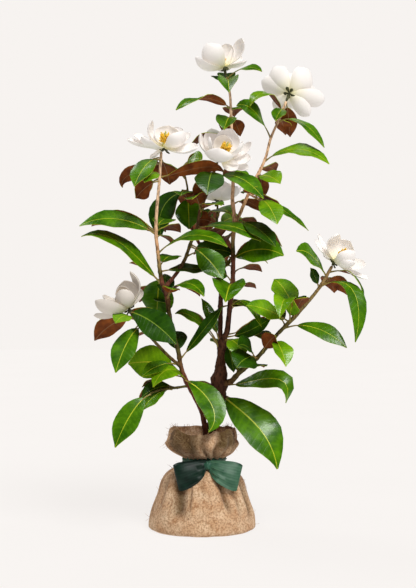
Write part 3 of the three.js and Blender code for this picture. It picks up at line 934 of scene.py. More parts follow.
SPRAYS = (
    Spray("leaves_top", "leader_main", (
        Leaf(806, (62, -55, 4), 32, 13, (0, -0.5, 0.86)),
        Leaf(800, (2, -80, -30), 46, 12, (0, -0.3, 1), MID, 0.55),
        Leaf(798, (-28, 68, 26), 26, 6, None, DARK),
        Leaf(800, (-2, 72, 28), 36, 8),
    )),
    Spray("leaves_top_low", "leader_main", (
        Leaf(756, (-98, -35, -9), 38, 20, (0, 0.3, 0.95), twist=1.6, stalk=8),
        Leaf(738, (-13, -48, -29), 46, 6, (0, -0.7, 0.6), MID, 0.5),
        Leaf(742, (18, 50, -30), 30, 4, (0, 0.9, 0.4)),
        Leaf(748, (8, 85, 4), 42, 12),
    )),
    Spray("leaves_right_top", "leader_right", (
        Leaf(706, (-64, -38, 52), 38, 20, twist=1.2),
        Leaf(757, (-62, -45, 2), 42, 28, None, LIGHT, stalk=4),
        Leaf(760, (-17, -50, -28), 30, 4, FRONT, MID, 0.3, stalk=4),
        Leaf(774, (11, 50, -58), 34, 8, (0, 1, 0.4)),
        Leaf(737, (81, -40, -53), 28, 22),
        Leaf(742, (16, 70, -20), 34, 8),
    )),
    Spray("leaves_right_mid", "leader_right", (
        Leaf(663, (115, -32, -10), 50, 24, (0, -0.5, 0.85), LIGHT),
        Leaf(648, (31, 72, 2), 34, 8, (0, 0.7, 0.7)),
        Leaf(634, (38, -70, -20), 42, 6, (0, -0.8, 0.5), LIGHT, 0.3),
        Leaf(642, (9, 62, -44), 30, 8, (0, 0.9, 0.5)),
    )),
    Spray("leaves_left_top", "leader_left", (
        Leaf(655, (-43, -60, -51), 46, 16, (-0.3, -0.7, 0.6)),
        Leaf(648, (-70, 44, -38), 30, 0, (0, 0.8, 0.5), bends=((-40, 20, -8), (-76, 40, -18))),
        Leaf(656, (14, 62, -38), 52, 8, (0.4, 0.8, 0.4)),
        Leaf(618, (-40, -30, -32), 42, 6, (-0.2, 0.85, 0.5)),
        Leaf(630, (-24, -56, -18), 36, 10, FRONT, LIGHT),
        Leaf(626, (114, 30, 11), 32, 0, (0, 0.7, 0.7), bends=((38, 8, 10), (92, 24, 34))),
    )),
    Spray("leaves_left_high", "leader_left", (
        Leaf(526, (-132, -28, 12), 46, 19, (0, -0.75, 0.65)),
        Leaf(530, (42, 66, 2), 30, 10, (0.1, 0.6, 0.8)),
        Leaf(532, (-17, 30, 2), 30, 4, (0, 0.8, 0.5)),
        Leaf(536, (22, 80, 16), 44, 10),
        Leaf(520, (25, 50, -8), 34, 8, None, DARK),
    )),
    Spray("leaves_left_mid", "leader_left", (
        Leaf(494, (122, -48, 8), 46, 25, (0, -0.45, 0.9)),
        Leaf(460, (86, 34, 4), 42, 4, (0, -0.4, 0.9), DARK),
        Leaf(470, (30, 82, 16), 42, 10),
    )),
    Spray("leaves_left_low", "leader_left", (
        Leaf(442, (-140, -24, 79), 60, 0, (0.3, -0.45, 0.85), bends=((-45, -8, 50), (-85, -16, 100))),
        Leaf(438, (-60, 34, 38), 34, 8, (0, 0.4, 0.9)),
        Leaf(450, (-10, 60, -76), 64, 14, (0, -0.9, 0.45)),
    )),
    Spray("leaves_fork", "stem_left", (
        Leaf(418, (66, -52, -2), 46, 22, (0.1, -0.4, 0.9)),
        Leaf(398, (-20, 80, 0), 42, 14, None, DARK),
        Leaf(406, (-8, 35, 50), 34, 8, (0, -1, 0.3), DARK),
        Leaf(414, (12, -40, 14), 34, 8, (0, 0.6, 0.8)),
    )),
    Spray("leaves_centre_top", "leader_centre", (
        Leaf(627, (90, -38, -39), 50, 20, (0.1, -0.5, 0.85)),
        Leaf(636, (-12, -66, -44), 56, 14, FRONT, DARK),
    )),
    Spray("leaves_centre_high", "leader_centre", (
        Leaf(568, (38, -62, 6), 40, 8, (0, -0.2, 0.97)),
        Leaf(572, (-14, -58, 14), 40, 12, (0, 0.8, 0.6)),
        Leaf(576, (-20, 70, 8), 42, 14),
    )),
    Spray("leaves_centre_mid", "leader_centre", (
        Leaf(538, (113, -32, -24), 44, 16, (0, -0.4, 0.9)),
        Leaf(490, (84, 25, 2), 50, 10, (0, -0.8, 0.6), DARK),
        Leaf(505, (59, -30, -58), 50, 8, (0, -0.9, 0.4)),
    )),
    Spray("leaves_back_top", "branch_back", (
        Leaf(655, (36, -25, 14), 38, 8, FRONT, LIGHT),
        Leaf(611, (-48, -24, -84), 50, 0, FRONT, DARK, bends=((-38, -10, -2), (-60, -20, -44))),
        Leaf(606, (3, -36, -66), 56, 8, (0, -1, 0.3), MID, 0.3),
        Leaf(592, (-12, -60, 8), 42, 12, (0.2, 0.7, 0.7)),
        Leaf(600, (10, 84, 10), 40, 10),
    )),
    Spray("leaves_back_high", "twig_back", (
        Leaf(545, (58, 42, 10), 44, 14, (0, -0.7, 0.7), LIGHT),
        Leaf(548, (-42, -12, 6), 36, 8, (0, 0.9, 0.4)),
        Leaf(566, (24, -36, 8), 36, 10, None, DARK),
        Leaf(558, (-60, 62, 6), 42, 14),
    )),
    Spray("leaves_crown_right", "leader_main", (
        Leaf(550, (70, -58, -46), 50, 12, (0.3, -0.6, 0.7), DARK),
        Leaf(582, (54, 46, -12), 34, 12, (0, 0.4, 0.9)),
        Leaf(552, (44, 72, -4), 20, 8, (0, 0.5, 0.8)),
        Leaf(560, (-46, 70, 6), 42, 14),
        Leaf(525, (-20, 60, -20), 40, 10, FRONT, DARK),
    )),
    Spray("leaves_twig_right", "twig_right", (
        Leaf(590, (28, -62, -48), 46, 12, (0.1, -0.7, 0.7), LIGHT),
        Leaf(591, (88, -22, -58), 32, 8),
        Leaf(592, (-20, -50, 10), 32, 8, (0, 0.7, 0.7)),
        Leaf(596, (34, 60, -34), 40, 8),
    )),
    Spray("leaves_trunk_high", "leader_main", (
        Leaf(485, (88, -50, 2), 60, 13, (0, -0.85, 0.5), stalk=2),
        Leaf(460, (55, 62, 2), 24, 10, (0, 0.5, 0.8)),
        Leaf(470, (-34, 66, -18), 44, 10, FRONT),
    )),
    Spray("leaves_trunk_mid", "leader_main", (
        Leaf(438, (-14, -78, -32), 76, 8, (0, -0.5, 0.85), MID, 0.6),
        Leaf(428, (46, 68, 2), 22, 8, (0, 0.5, 0.8)),
        Leaf(444, (-42, -34, 18), 48, 10, FRONT, DARK),
    )),
    Spray("leaves_trunk_low", "leader_main", (
        Leaf(400, (54, -58, -38), 18, 24, (0.1, -0.5, 0.85)),
        Leaf(392, (40, 76, 8), 44, 10),
        Leaf(344, (82, -26, 34), 34, -6, (0, -0.7, 0.6), DARK),
        Leaf(338, (36, -48, -26), 44, 10, (0.2, -0.7, 0.6), LIGHT),
    )),
    Spray("leaves_trunk_left", "trunk", (
        Leaf(325, (-84, -30, 60), 44, 18, (0.2, -0.4, 0.9), stalk=30),
        Leaf(338, (-38, 25, 74), 24, 8, (0.3, -0.9, 0.3)),
        Leaf(338, (20, -22, -58), 26, 8, FRONT, DARK),
        Leaf(320, (0, 84, 12), 46, 8),
    )),
    Spray("leaves_stem", "stem_left", (
        Leaf(306, (76, -22, 92), 34, 0, (-0.5, -0.6, 0.6), DARK),
        Leaf(310, (-10, 56, 42), 42, 8, (0, -0.8, 0.5), DARK),
        Leaf(294, (-95, 28, 0), 66, 4, (0, -0.97, 0.25), LIGHT),
    )),
    Spray("leaves_foot_left", "twig_low", (
        Leaf(257, (-60, -50, 2), 52, 30, (0, -0.55, 0.8), LIGHT),
        Leaf(254, (-63, -20, -16), 36, 10, FRONT, DARK),
        Leaf(253.4, (-51, -30, -37), 34, 10, (-0.3, -0.6, 0.7)),
        Leaf(250, (-30, 44, -34), 42, 8),
        Leaf(246, (-58, -36, -90), 50, 16, (-0.2, -0.9, 0.4)),
    )),
    Spray("leaves_foot_front", "stem_left", (
        Leaf(266, (41, -58, -86), 54, 0, (0.2, -0.85, 0.5), MID, 0.3, stalk=6,
             bends=((26, -15, -10), (72, -45, -52))),
        Leaf(262, (46, 62, -14), 34, 4, (0, 0.1, 1), DARK),
    )),
    Spray("leaves_foot_right", "trunk", (
        Leaf(236, (104, -55, -124), 80, 0, (0.25, -0.85, 0.5), stalk=3,
             bends=((36, -20, -30), (82, -44, -54))),
        Leaf(236, (60, 84, -60), 50, 14),
    )),
    Spray("leaves_bough_right_root", "bough_right", (
        Leaf(262, (98, -44, -34), 48, 0, (0, -0.75, 0.65), stalk=8, bends=((28, -15, 0), (118, -42, 44))),
        Leaf(286, (40, 72, 0), 44, 8),
    )),
    Spray("leaves_bough_right_low", "bough_right", (
        Leaf(308, (-38, -58, -14), 56, 8, (0, -0.8, 0.5), DARK),
        Leaf(306, (-34, -46, 24), 44, 10, (0.2, -0.7, 0.6), DARK, 0.4),
        Leaf(318, (21, -46, 30), 36, 4, (0.2, 0.95, 0.2)),
        Leaf(340, (20, -58, -44), 44, 12, (0.3, -0.8, 0.5), LIGHT, 0.4),
        Leaf(328, (34, 66, -18), 44, 10),
    )),
    Spray("leaves_bough_right_mid", "bough_right", (
        Leaf(364, (102, -50, -36), 36, 16, FRONT, stalk=20),
        Leaf(370, (-76, -30, 30), 44, 6, (0.1, -0.75, 0.65), LIGHT),
        Leaf(374, (-24, -74, 6), 44, 34, (0, -0.5, 0.9), LIGHT, 0.5),
        Leaf(372, (2, -50, 36), 34, 6, (0, -0.8, 0.5), LIGHT),
        Leaf(380, (14, -56, 34), 34, 8, (-0.4, 0.5, 0.8)),
        Leaf(384, (-38, 38, 62), 56, 10, (0.3, -0.6, 0.75), LIGHT),
    )),
    Spray("leaves_bough_right_tip", "bough_right", (
        Leaf(452, (-56, -50, 41), 50, 14, (0.4, -0.6, 0.7), stalk=4),
        Leaf(436, (52, -62, -98), 36, 0, bends=((38, -15, 22), (72, -50, -6))),
        Leaf(432, (-17, -12, 33), 20, 2, FRONT, DARK, stalk=4),
        Leaf(460, (58, -16, -46), 36, 0, (0.6, 0, 0.8), bends=((30, -5, 8), (52, -12, -8))),
        Leaf(439, (46, 26, -20), 30, 16, (0, 0.8, 0.6)),
        Leaf(446, (24, 74, -24), 42, 12),
    )),
    Spray("leaves_bough_left_tip", "bough_left", (
        Leaf(363, (-42, -44, -78), 46, 16, (-0.2, -0.9, 0.4), stalk=6),
        Leaf(388, (81, -40, -54), 56, 9, (0, -0.9, 0.35), DARK, stalk=3),
        Leaf(378, (-73, 28, -40), 46, 12, (-0.3, 0.7, 0.5)),
        Leaf(376, (-32, -40, -6), 38, 10, None, LIGHT),
        Leaf(298, (-58, -36, -22), 30, 8, FRONT),
    )),
)


@dataclass
class Foliage:
    """Every leaf of the plant: the ones listed one by one, and those that fill the crown by a growth rule."""

    finishes: Finishes
    stations: tuple[float, ...] = (
        0, 0.03, 0.08, 0.15, 0.23, 0.32, 0.42, 0.52, 0.62, 0.72, 0.81, 0.89, 0.95, 1,
    )
    columns: tuple[float, ...] = (-1, -0.52, -0.055, 0.055, 0.52, 1)
    thick_mm: float = 0.8
    stalk_share: float = 0.3
    stalk_radius_mm: float = 1.5
    stalk_taper: tuple[float, ...] = (1.25, 1.1, 0.85, 0.5)
    stalk_root_mm: float = 1.2
    bow: float = 1.33
    bow_at: tuple[float, float] = (0.3, 0.72)
    seed: int = 7
    rise_mm: float = 15
    turn: float = 2.4
    cell_mm: float = 6
    covered_share: float = 0.94
    clearance_mm: float = 4.5
    base_share: float = 0.35
    front_mm: float = -15
    mate_scale: Point = (0.88, -0.95, 0.92)
    attempts: int = 5
    attempt_turn: float = 0.7
    wave: float = 0.07
    hand_twist: float = 0.35
    lengths: tuple[float, float] = (72, 112)
    widths: tuple[float, float] = (36, 48)
    arches: tuple[float, float] = (8, 24)
    rises: tuple[float, float] = (-0.5, 0.35)
    mate_widths: tuple[float, float] = (0.74, 0.86)
    mate_above_mm: float = 4
    tones: tuple[Tone, ...] = (DARK, MID, MID, LIGHT)
    rib_zone: float = 0.1
    rib_width: float = 0.62
    rib_deep_mm: float = 0.35
    least_width: float = 0.045
    inside_low: Point = (-4, 20, 150)
    inside_high: Point = (4, 8, 0)
    eyes: dict[str, list[float]] = field(default_factory=dict)
    blades: dict[str, list[Piece]] = field(default_factory=dict)

    def __post_init__(self) -> None:
        """Makes the patterns that every leaf is copied from."""
        self.dice = random.Random(self.seed)
        self.routes = {limb.name: limb.route() for limb in LIMBS}
        self.wood = np.vstack(
            [route.at(np.linspace(0, 1, int(route.length / 5))) for route in self.routes.values()]
        )
        self.blade_pattern = self.make_blade()
        self.stalk_pattern = tube(5, 4)
        self.blade_shape = points_of(self.blade_pattern)
        self.cover: dict[tuple[int, int], float] = {}
        self.taken: list[Array] = []
        self.stalks: list[Piece] = []

    def make_blade(self) -> Piece:
        """The pattern: a strip with an upper skin, a midrib, a margin and an underside."""
        blade = strip(self.stations, self.columns)
        apply_modifier(blade, "SOLIDIFY", thickness=1, offset=-1, material_offset=2, material_offset_rim=1)
        for slot in range(4):
            blade.data.materials.append(None)
        for face in blade.data.polygons:
            below = face.center.z < -0.99
            edge = not below and face.center.z < -0.01
            midrib = abs(face.center.y) < 0.05
            face.material_index = 1 if edge else 2 * below + midrib
        return blade

    def spine(self, route: Route, share: float, leaf: Leaf) -> tuple[Array, Array]:
        """The curve that a leaf follows.

        Args:
            route: the limb that carries it.
            share: where on the limb's length its eye is.
            leaf: the leaf.

        Returns:
            Points along the curve, and the direction across the blade.
        """
        reach = np.array(leaf.reach, dtype=float)
        start = route.eye(share, reach)
        blade = route.at(share) + reach - start
        bow = UP * leaf.arch * self.bow
        first, second = (start + blade * at + bow for at in self.bow_at)
        if leaf.bends:
            first, second = (start + np.array(bend) for bend in leaf.bends)
        t = np.linspace(0, 1, 33)[:, None]
        line = curve(t, start, first, second, start + blade)
        outward = unit(reach * (1, 1, 0)) * 0.5
        faces = np.array(leaf.faces) if leaf.faces else outward + (0, -0.45, 0.9)
        return line, unit(np.cross(blade, faces))

    def blade_points(self, line: Array, across: Array, leaf: Leaf) -> Array:
        """Bends the pattern along a spine.

        Args:
            line: the spine.
            across: the direction across the blade.
            leaf: the leaf's width, fold and twist.

        Returns:
            The vertices' places in mm.
        """
        run = run_along(line)
        foot = min(self.stalk_share, leaf.stalk / run[-1])
        t, y, z = self.blade_shape.T * ((1,), (-1,), (1,))
        place = (foot + (1 - foot) * t) * run[-1]
        at, ahead, behind = (on_line(place + step, run, line) for step in (0, 2, -2))
        along = unit(ahead - behind)
        side = unit(across - along * (along @ across)[:, None])
        normal = np.cross(side, along)
        turned = leaf.twist * (t - 0.3)
        side, normal = (
            side * np.cos(turned)[:, None] + normal * np.sin(turned)[:, None],
            normal * np.cos(turned)[:, None] - side * np.sin(turned)[:, None],
        )
        outline = np.sin(np.pi * np.clip(t, 0, 1) ** 1.03) ** (0.64 + 0.36 * t)
        half = leaf.width / 2 * np.maximum(outline, self.least_width)
        phase = self.dice.uniform(0, 2 * math.pi)
        waves = self.dice.uniform(1.6, 2.6)
        wave = self.wave * np.sin(2 * np.pi * waves * t + phase + 0.8 * np.sign(y)) * np.abs(y) ** 1.5
        lift = half * (leaf.fold * 1.6 * np.abs(y) - (0.12 + leaf.fold * 0.5) * y**2 + wave)
        narrow = 1 - 0.35 * leaf.fold * np.abs(y)
        near_rib = np.abs(y) < self.rib_zone
        rib = np.where(near_rib, self.rib_deep_mm, 0)
        rib_half = y * (leaf.width / 2 * self.rib_width) * (1.15 - 0.7 * t)
        width = np.where(near_rib, rib_half, y * half * narrow)
        width = np.where(np.abs(width) > half, np.sign(y) * half, width)
        height = lift + z * self.thick_mm - rib * (z < -0.5)
        return at + side * width[:, None] + normal * height[:, None]

    def lay(self, limb: str, share: float, leaf: Leaf) -> tuple[Array, Array]:
        """Bends a leaf from its eye on a limb: the vertices of its blade in mm, and its spine."""
        line, across = self.spine(self.routes[limb], share, leaf)
        return self.blade_points(line, across, leaf), line

    def grow(self, spray: Spray, share: float, leaf: Leaf, points: Array, line: Array) -> None:
        """Copies the patterns of blade and stalk to their places, and notes the leaf's eye.

        Args:
            spray: the mass that the leaf joins.
            share: where on the limb's length its eye is.
            leaf: the leaf.
            points: the blade's vertices in mm.
            line: the leaf's spine.
        """
        blade = copy_of(self.blade_pattern, points * MM)
        # The tone partly paints shade or light on a listed leaf; a DARK leaf also gets the deeper midrib as
        # part of that painted shade.
        green = self.finishes.leaves[list(Tone).index(leaf.tone)]
        rib = self.finishes.rib_deep if leaf.tone is DARK else self.finishes.rib
        dress(blade, green, rib, self.finishes.russet, self.finishes.rib_below)
        run = run_along(line)
        foot = min(self.stalk_share, leaf.stalk / run[-1]) * 1.25
        last = int(np.searchsorted(run, foot * run[-1])) + 1
        begin = line[0] - unit(line[1] - line[0]) * self.stalk_root_mm
        rows = np.vstack((begin, line[0], line[(last + 1) // 2], line[last]))
        radii = np.array(self.stalk_taper) * self.stalk_radius_mm
        stalk = rod_along(self.stalk_pattern, Route(np.column_stack((rows, radii))))
        dress(stalk, self.finishes.stalk)
        self.stalks.append(stalk)
        self.taken.append(points[self.blade_shape[:, 2] > -0.5])
        self.blades[spray.node].append(blade)
        self.eyes.setdefault(spray.limb, []).append(share)

    def cells(self, points: Array) -> list[tuple[int, int]]:
        """The squares that points fall in, as seen from the front."""
        camera = np.array(VIEWPOINT)
        scale = -camera[1] / (points[:, 1] - camera[1])
        x = camera[0] + (points[:, 0] - camera[0]) * scale
        z = camera[2] + (points[:, 2] - camera[2]) * scale
        return list(zip((x // self.cell_mm).astype(int), (z // self.cell_mm).astype(int)))

    def dense(self, points: Array) -> Array:
        """Points over the upper skin, with more between them, enough to fill every square."""
        order = np.lexsort((self.blade_shape[:, 1], self.blade_shape[:, 0]))
        order = order[self.blade_shape[order, 2] > -0.5]
        skin = points[order].reshape(len(self.stations), len(self.columns), 3)
        return refined(refined(skin, 40, 0), 16, 1).reshape(-1, 3)

    def fits(self, points: Array, tree: kdtree.KDTree) -> bool:
        """Says whether a new leaf is clear of the others, inside the crown, and hidden from the front."""
        low, high = (np.array(corner) / MM for corner in CAD_BOX)
        if (points < low + self.inside_low).any() or (points > high + self.inside_high).any():
            return False
        outer = points[self.blade_shape[:, 0] > self.base_share]
        if any(tree.find(point)[2] < self.clearance_mm for point in outer[::3]):
            return False
        skin = self.dense(points)
        hidden = sum(self.cover.get(cell, math.inf) < y for cell, y in zip(self.cells(skin), skin[:, 1]))
        return hidden >= self.covered_share * len(skin)

    def cover_with(self, points: Array) -> None:
        """Notes what shows from the front, and how near each square of it is."""
        for cell, y in zip(self.cells(points), points[:, 1]):
            self.cover[cell] = min(y, self.cover.get(cell, math.inf))

    def set_by_hand(self) -> None:
        """Places the leaves of every mass."""
        for spray in SPRAYS:
            self.blades[spray.node] = []
            for leaf in spray.leaves:
                leaf = replace(leaf, twist=leaf.twist or self.dice.uniform(-self.hand_twist, self.hand_twist))
                share = self.routes[spray.limb].share_at_height(leaf.height)
                points, line = self.lay(spray.limb, share, leaf)
                self.grow(spray, share, leaf, points, line)
                self.cover_with(self.dense(points))

    def mate(self, leaf: Leaf) -> Leaf:
        """The leaf that grows from the same eye to the other side of the limb."""
        scale = np.array(self.mate_scale)
        bends = leaf.bends and tuple(tuple(np.array(bend) * scale) for bend in leaf.bends)
        reach = tuple(np.array(leaf.reach) * scale)
        faces = tuple(np.array(leaf.faces or FRONT) * (1, -1, 1))
        tone = self.dice.choice(self.tones)
        width = leaf.width * self.dice.uniform(*self.mate_widths)
        height = leaf.height + self.mate_above_mm
        return replace(leaf, height=height, reach=reach, width=width, faces=faces, tone=tone, bends=bends)

    def pair(self) -> None:
        """Grows a mate behind each leaf that points to the front, where there is room for it."""
        tree = self.tree_of()
        for spray in SPRAYS:
            for front in spray.leaves:
                if front.reach[1] > self.front_mm:
                    continue
                leaf = self.mate(front)
                share = self.routes[spray.limb].share_at_height(leaf.height)
                points, line = self.lay(spray.limb, share, leaf)
                if self.fits(points, tree):
                    self.grow(spray, share, leaf, points, line)
                    tree = self.tree_of()

    def fill(self) -> None:
        """Grows more leaves round the limbs by a golden turn, wherever the crown has room behind its front.

        Each joins the mass of the same limb whose leaves' eyes are nearest in height, however far.
        """
        tree = self.tree_of()
        for name, route in self.routes.items():
            masses = [spray for spray in SPRAYS if spray.limb == name]
            for index in range(int(route.length / self.rise_mm)):
                for attempt in range(self.attempts):
                    share = min(1, (index + self.dice.random()) * self.rise_mm / route.length)
                    leaf = self.bud(route, share, index * self.turn + attempt * self.attempt_turn)
                    points, line = self.lay(name, share, leaf)
                    if self.fits(points, tree):
                        mass = min(masses, key=lambda spray, height=leaf.height: spray.gap(height))
                        self.grow(mass, share, leaf, points, line)
                        tree = self.tree_of()
                        break

    def bud(self, route: Route, share: float, turn: float) -> Leaf:
        """A leaf that the growth rule proposes.

        Args:
            route: the limb.
            share: where on its length the leaf stands.
            turn: the angle round the limb.

        Returns:
            The leaf.
        """
        rise = self.dice.uniform(*self.rises)
        length = self.dice.uniform(*self.lengths)
        away = np.array((math.cos(turn), math.sin(turn), rise))
        reach = tuple(unit(away) * length)
        height = float(route.at(share)[2])
        width = self.dice.uniform(*self.widths)
        arch = self.dice.uniform(*self.arches)
        tone = self.dice.choice(self.tones)
        faces = tuple(away * (0.8, 0.8, 0) + UP)
        return Leaf(height, reach, width, arch, faces, tone, twist=self.dice.uniform(-0.4, 0.4))

    def tree_of(self) -> kdtree.KDTree:
        """A search tree of all that a new leaf has to stay clear of."""
        points = np.vstack((self.wood, *self.taken))
        tree = kdtree.KDTree(len(points))
        for i, point in enumerate(points):
            tree.insert(point, i)
        tree.balance()
        return tree

    def build(self, blooms: Sequence[Array]) -> None:
        """Grows all leaves and hands each mass over as one piece.

        Args:
            blooms: the points of the blooms, which hide leaves and keep them clear.
        """
        for points in blooms:
            self.cover_with(points)
            self.taken.append(points)
        self.set_by_hand()
        self.pair()
        self.fill()
        for node, leaves in self.blades.items():
            hand_over(joined(node.replace("leaves", "spray"), leaves), "leaf", node)
        hand_over(joined("leaf_stalks", self.stalks), "leaf")
        discard(self.blade_pattern)
        discard(self.stalk_pattern)
        log.info("%d leaves", sum(map(len, self.eyes.values())))


# ---------------------------------------------------------------- blooms


@dataclass(frozen=True)
class Petal:
    """One petal: how far its tip lies from the bloom's foot, its width, and the way its inner side faces.

    Its middle bows outwards by belly, and its sides curl inwards by cup degrees; sizes are in mm.
    """

    reach: Point
    width: float
    faces: Point
    belly: float = 8
    cup: float = 42


@dataclass(frozen=True)
class Bloom:
    """One flower: broad petals round a cone of carpels and stamens, with scales at the foot.

    Its foot is where the petals meet, and heart_mm is how far above it the stamens stand.
    """

    node: str
    limb: str
    foot: Point
    opens: Point
    petals: tuple[Petal, ...]
    heart_mm: float = 16
    # True gives the petals the greyer finish of painted shade.
    shaded: bool = False

    @property
    def axis(self) -> Array:
        """The direction in which it opens."""
        return unit(np.array(self.opens, dtype=float))

    def out(self, turn: float) -> Array:
        """The direction out from the axis at a turn in degrees."""
        right = unit(RIGHT - self.axis * (self.axis @ RIGHT))
        up = np.cross(self.axis, right)
        return right * math.cos(math.radians(turn)) + up * math.sin(math.radians(turn))


BLOOMS = (
    Bloom("bloom_top", "leader_main", (39.5, -1, 829), (-0.5, -0.2, 0.85), (
        Petal((-31, -16, 38), 44, (0.35, 0.9, -0.1), 12),
        Petal((-51, -6, 16), 40, (0.35, 0.15, 0.92), 15, 50),
        Petal((33, -4, 50), 40, (-0.75, -0.6, 0.25), 11), Petal((3, 18, 45), 34, (-0.3, -0.9, -0.1), 8),
        Petal((-27, 34, 33), 36, (0.4, -0.8, 0.4), 8), Petal((26, 36, 28), 36, (-0.4, -0.8, 0.5), 8),
        Petal((-2, 50, 10), 36, (0, -0.6, 0.8), 9), Petal((-40, 20, 6), 34, (0.3, -0.3, 0.9), 8),
        Petal((40, 18, 14), 34, (-0.4, -0.2, 0.9), 8),
    )),
    Bloom("bloom_right_top", "leader_right", (162, 66, 793), (0.15, 0.75, 0.45), (
        Petal((-27, 24, 52), 42, (0.25, 0.85, 0.1), 12), Petal((37, 22, 46), 48, (-0.2, 0.9, 0.1), 14),
        Petal((-50, 30, 27), 36, (0.4, 0.8, 0.2)), Petal((66, 18, -11), 36, (-0.3, 0.9, 0.3), 11),
        Petal((37, 8, -41), 30, (-0.1, 0.85, 0.5)), Petal((-26, 20, -28), 30, (0.3, 0.8, 0.5)),
        Petal((52, 46, 8), 40, (-0.5, 0.7, 0.2), 9), Petal((-4, 50, 46), 42, (0, 0.8, -0.5), 10),
        Petal((-28, 56, 4), 38, (0.5, 0.5, 0.2), 9), Petal((14, 58, -18), 36, (-0.1, 0.4, 0.9), 9),
    ), 14),
    Bloom("bloom_left_top", "leader_left", (-66.5, -58, 677), (0.12, -0.35, 0.9), (
        Petal((10, 20, 41), 50, (0, -0.9, 0.3), 9), Petal((34, -20, 25), 48, (-0.45, 0.5, 0.7), 12, 50),
        Petal((-21, 8, 48), 34, (0.95, -0.25, 0.15), 15), Petal((-53, 10, 25), 30, (0.3, -0.4, 0.85), 6),
        Petal((-64, -6, 13), 31, (0.15, -0.3, 0.95), 7, 55), Petal((-36, -28, 15), 50, (0.3, -0.1, 0.95), 11),
        Petal((60, -14, -1), 46, (-0.1, -0.45, 0.9), 9), Petal((27, 28, 39), 36, (-0.3, -0.85, 0.3), 6),
        Petal((46, 18, 28), 32, (-0.6, -0.6, 0.4), 6), Petal((-25, 4, -19), 26, (0.2, -0.3, 0.9), 5),
        Petal((-6, 46, 8), 40, (0, -0.6, 0.8), 8),
    ), 17),
    Bloom("bloom_centre", "leader_centre", (34, -25, 661), (0.35, -0.5, 0.75), (
        Petal((-17, 14, 55), 42, (0.3, -0.9, 0.1), 11), Petal((19, 10, 54), 48, (-0.1, -0.95, 0.1), 11),
        Petal((7, 0, 43), 38, (0, -0.95, 0.2), 7, 52), Petal((-20, -14, 37), 32, (0.8, -0.1, 0.4), 9, 50),
        Petal((-36, -4, 45), 32, (0.85, -0.3, 0.3), 15), Petal((-4, -46, 13), 58, (0.15, 0.35, 0.9), 15, 48),
        Petal((39, -16, 28), 38, (-0.8, 0, 0.5), 9, 50), Petal((54, 6, 30), 30, (-0.7, -0.5, 0.4), 11),
        Petal((53, -10, 0), 36, (-0.3, -0.6, 0.75), 7), Petal((27, -22, -22), 26, (-0.1, -0.9, 0.5), 4),
        Petal((48, -8, -19), 24, (-0.2, -0.7, 0.7), 4), Petal((10, 44, 16), 38, (0, -0.6, 0.8), 8),
    ), 23),
    Bloom("bloom_back", "twig_back", (29.7, 106, 597), (0.1, 0.3, 0.8), tuple(
        Petal(
            (62 * math.cos(turn) * wide, 58 * math.sin(turn) * wide, 16 + 30 * (1 - wide)), 44,
            (-math.cos(turn), -math.sin(turn), 0.9), 9,
        )
        for turn, wide in (
            (0.2, 0.7), (1.4, 0.72), (2.5, 0.68), (3.6, 0.7), (4.7, 0.6), (5.6, 0.72), (0.9, 0.4),
            (3.0, 0.42), (5.1, 0.38),
        )
    )),
    Bloom("bloom_right", "bough_right", (231.5, -76, 477), (0.75, -0.35, 0.55), (
        Petal((6, -4, 47), 42, (0.75, -0.6, 0), 14), Petal((27, 14, 36), 44, (-0.2, -0.9, 0.2), 12),
        Petal((31, -22, -1), 36, (0.1, 0.3, 0.95), 9, 50), Petal((53, -4, -5), 28, (-0.3, -0.7, 0.6), 6),
        Petal((57, -6, -30), 22, (0.2, -0.4, 0.9), 5), Petal((-33, 6, 38), 22, (0.6, -0.5, 0.5), 6),
        Petal((-26, 28, 49), 18, (0.7, -0.5, 0.4), 6), Petal((-2, 44, 20), 36, (0, -0.7, 0.6), 8),
        Petal((34, 38, 0), 34, (-0.3, -0.5, 0.8), 8), Petal((30, -24, 17), 44, (-0.35, 0.75, 0.55), 13, 50),
    ), 20),
    Bloom("bloom_left", "bough_left", (-127.5, -71, 396), (-0.6, -0.45, 0.6), (
        Petal((-55, -28, 13), 46, (0.1, 0.55, 0.8), 15, 55), Petal((-45, 4, 22), 32, (0.3, -0.3, 0.9), 8),
        Petal((-9, 12, 47), 44, (-0.3, -0.9, 0.2), 11), Petal((-17, -2, 36), 28, (-0.3, -0.8, 0.4), 7),
        Petal((2, 8, 63), 34, (-0.9, -0.35, 0.15), 18), Petal((-60, -2, -13), 26, (0.3, 0.4, 0.9), 9),
        Petal((-42, 36, 18), 36, (0.4, -0.4, 0.8), 8), Petal((14, 34, 34), 34, (-0.4, -0.8, 0.3), 8),
        Petal((-13, -26, 31), 38, (0.1, 0.9, 0.2), 10, 50),
    ), 14, True),
)


